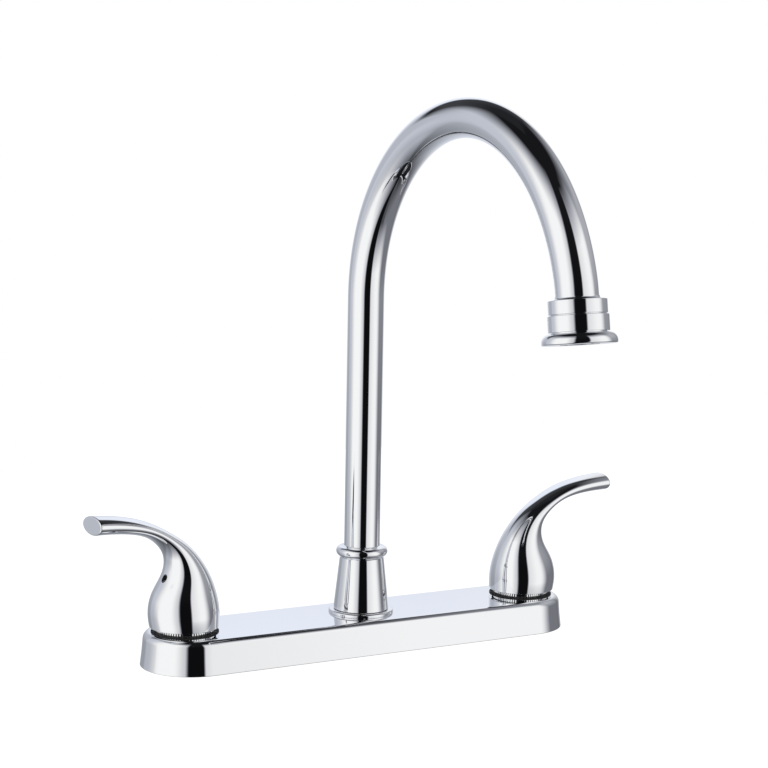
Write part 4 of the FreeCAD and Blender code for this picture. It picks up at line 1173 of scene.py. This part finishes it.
brass = metal("machined_brass", ((0.80, 0.58, 0.29), (0.66, 0.44, 0.20)), (0.2, 0.38), 700.0,
              lathe_rings=900.0)
copper = metal("drawn_copper", ((0.86, 0.45, 0.31), (0.62, 0.30, 0.20)), (0.22, 0.42), 500.0)
steel = metal("brushed_steel", ((0.60, 0.60, 0.60), (0.50, 0.50, 0.51)), (0.25, 0.4), 1200.0,
              bump_strength=0.3)
black_steel = metal("blackened_steel", ((0.10, 0.09, 0.085), (0.16, 0.12, 0.09)),
                    (0.35, 0.5), 1500.0)

# %% Rubber, foam, ceramic and plastic


def soft_or_moulded(name, colours, roughness, grain_scale, bump_strength, specular=0.5,
                    subsurface=0.0):
    """A material that isn't metal, with two close colours and a grain."""
    material = plain_material(name)
    tree = Tree(material.node_tree)
    place = tree.node("ShaderNodeTexCoord").outputs["Object"]
    patch = tree.noise(place, 90.0, 3.0, 0.5)
    grain = tree.noise(place, grain_scale, 4.0, 0.6)
    colour = tree.blend(tree.span(patch, 0.3, 0.7), *colours)
    bump = tree.node("ShaderNodeBump", {"Strength": bump_strength, "Distance": 0.05 * MM,
                                        "Height": grain})
    sockets = {"Base Color": colour, "Roughness": tree.span(grain, 0.3, 0.7, *roughness),
               "Specular IOR Level": specular, "Subsurface Weight": subsurface,
               "Normal": bump.outputs[0]}
    shader = tree.node("ShaderNodeBsdfPrincipled", sockets)
    tree.node("ShaderNodeOutputMaterial", {0: shader.outputs[0]})
    return material


rubber = soft_or_moulded("black_rubber", ((0.018, 0.018, 0.02), (0.03, 0.03, 0.032)),
                         (0.55, 0.75), 1400.0, 0.25, 0.35)
foam = soft_or_moulded("gasket_foam", ((0.05, 0.05, 0.055), (0.09, 0.09, 0.095)),
                       (0.85, 1.0), 2200.0, 0.8, 0.2)
ceramic = soft_or_moulded("ground_ceramic", ((0.86, 0.85, 0.82), (0.80, 0.79, 0.77)),
                          (0.08, 0.2), 2500.0, 0.05)
white_plastic = soft_or_moulded("white_nylon", ((0.82, 0.81, 0.78), (0.76, 0.75, 0.72)),
                                (0.35, 0.5), 800.0, 0.12, subsurface=0.1)
black_plastic = soft_or_moulded("black_nylon", ((0.022, 0.022, 0.024), (0.04, 0.04, 0.042)),
                                (0.4, 0.6), 900.0, 0.2)

# %% Give every other piece its finish
FINISHES = {
    brass: ("valve_body", "spout_post", "bonnet_nut", "stem", "cartridge_housing"),
    copper: ("crossover_tube",),
    steel: ("shank_washer", "stem_clip", "aerator_screen", "handle_screw"),
    black_steel: ("spout_set_screw",),
    rubber: ("cover_washer", "seat_seal", "stem_seals", "spout_seals", "aerator_washer"),
    foam: ("deck_gasket",),
    ceramic: ("fixed_disc", "moving_disc"),
    white_plastic: ("spout_glide_washer", "aerator_insert"),
    black_plastic: ("mounting_nut",),
    cast_chrome: ("deck_cover", "cover_lock_nut", "spout_base_ring", "spout_hub", "spout_tube",
                  "spout_collar", "aerator_housing", "handle"),
}


def finish_of(name):
    plain = name.removeprefix("hot_").removeprefix("cold_")
    return next(material for material, kinds in FINISHES.items() if plain in kinds)


for name, node in nodes.items():
    node.data.materials.clear()
    node.data.materials.append(finish_of(name))
print(f"{len(nodes)} pieces of the frame have {len(FINISHES)} finishes")
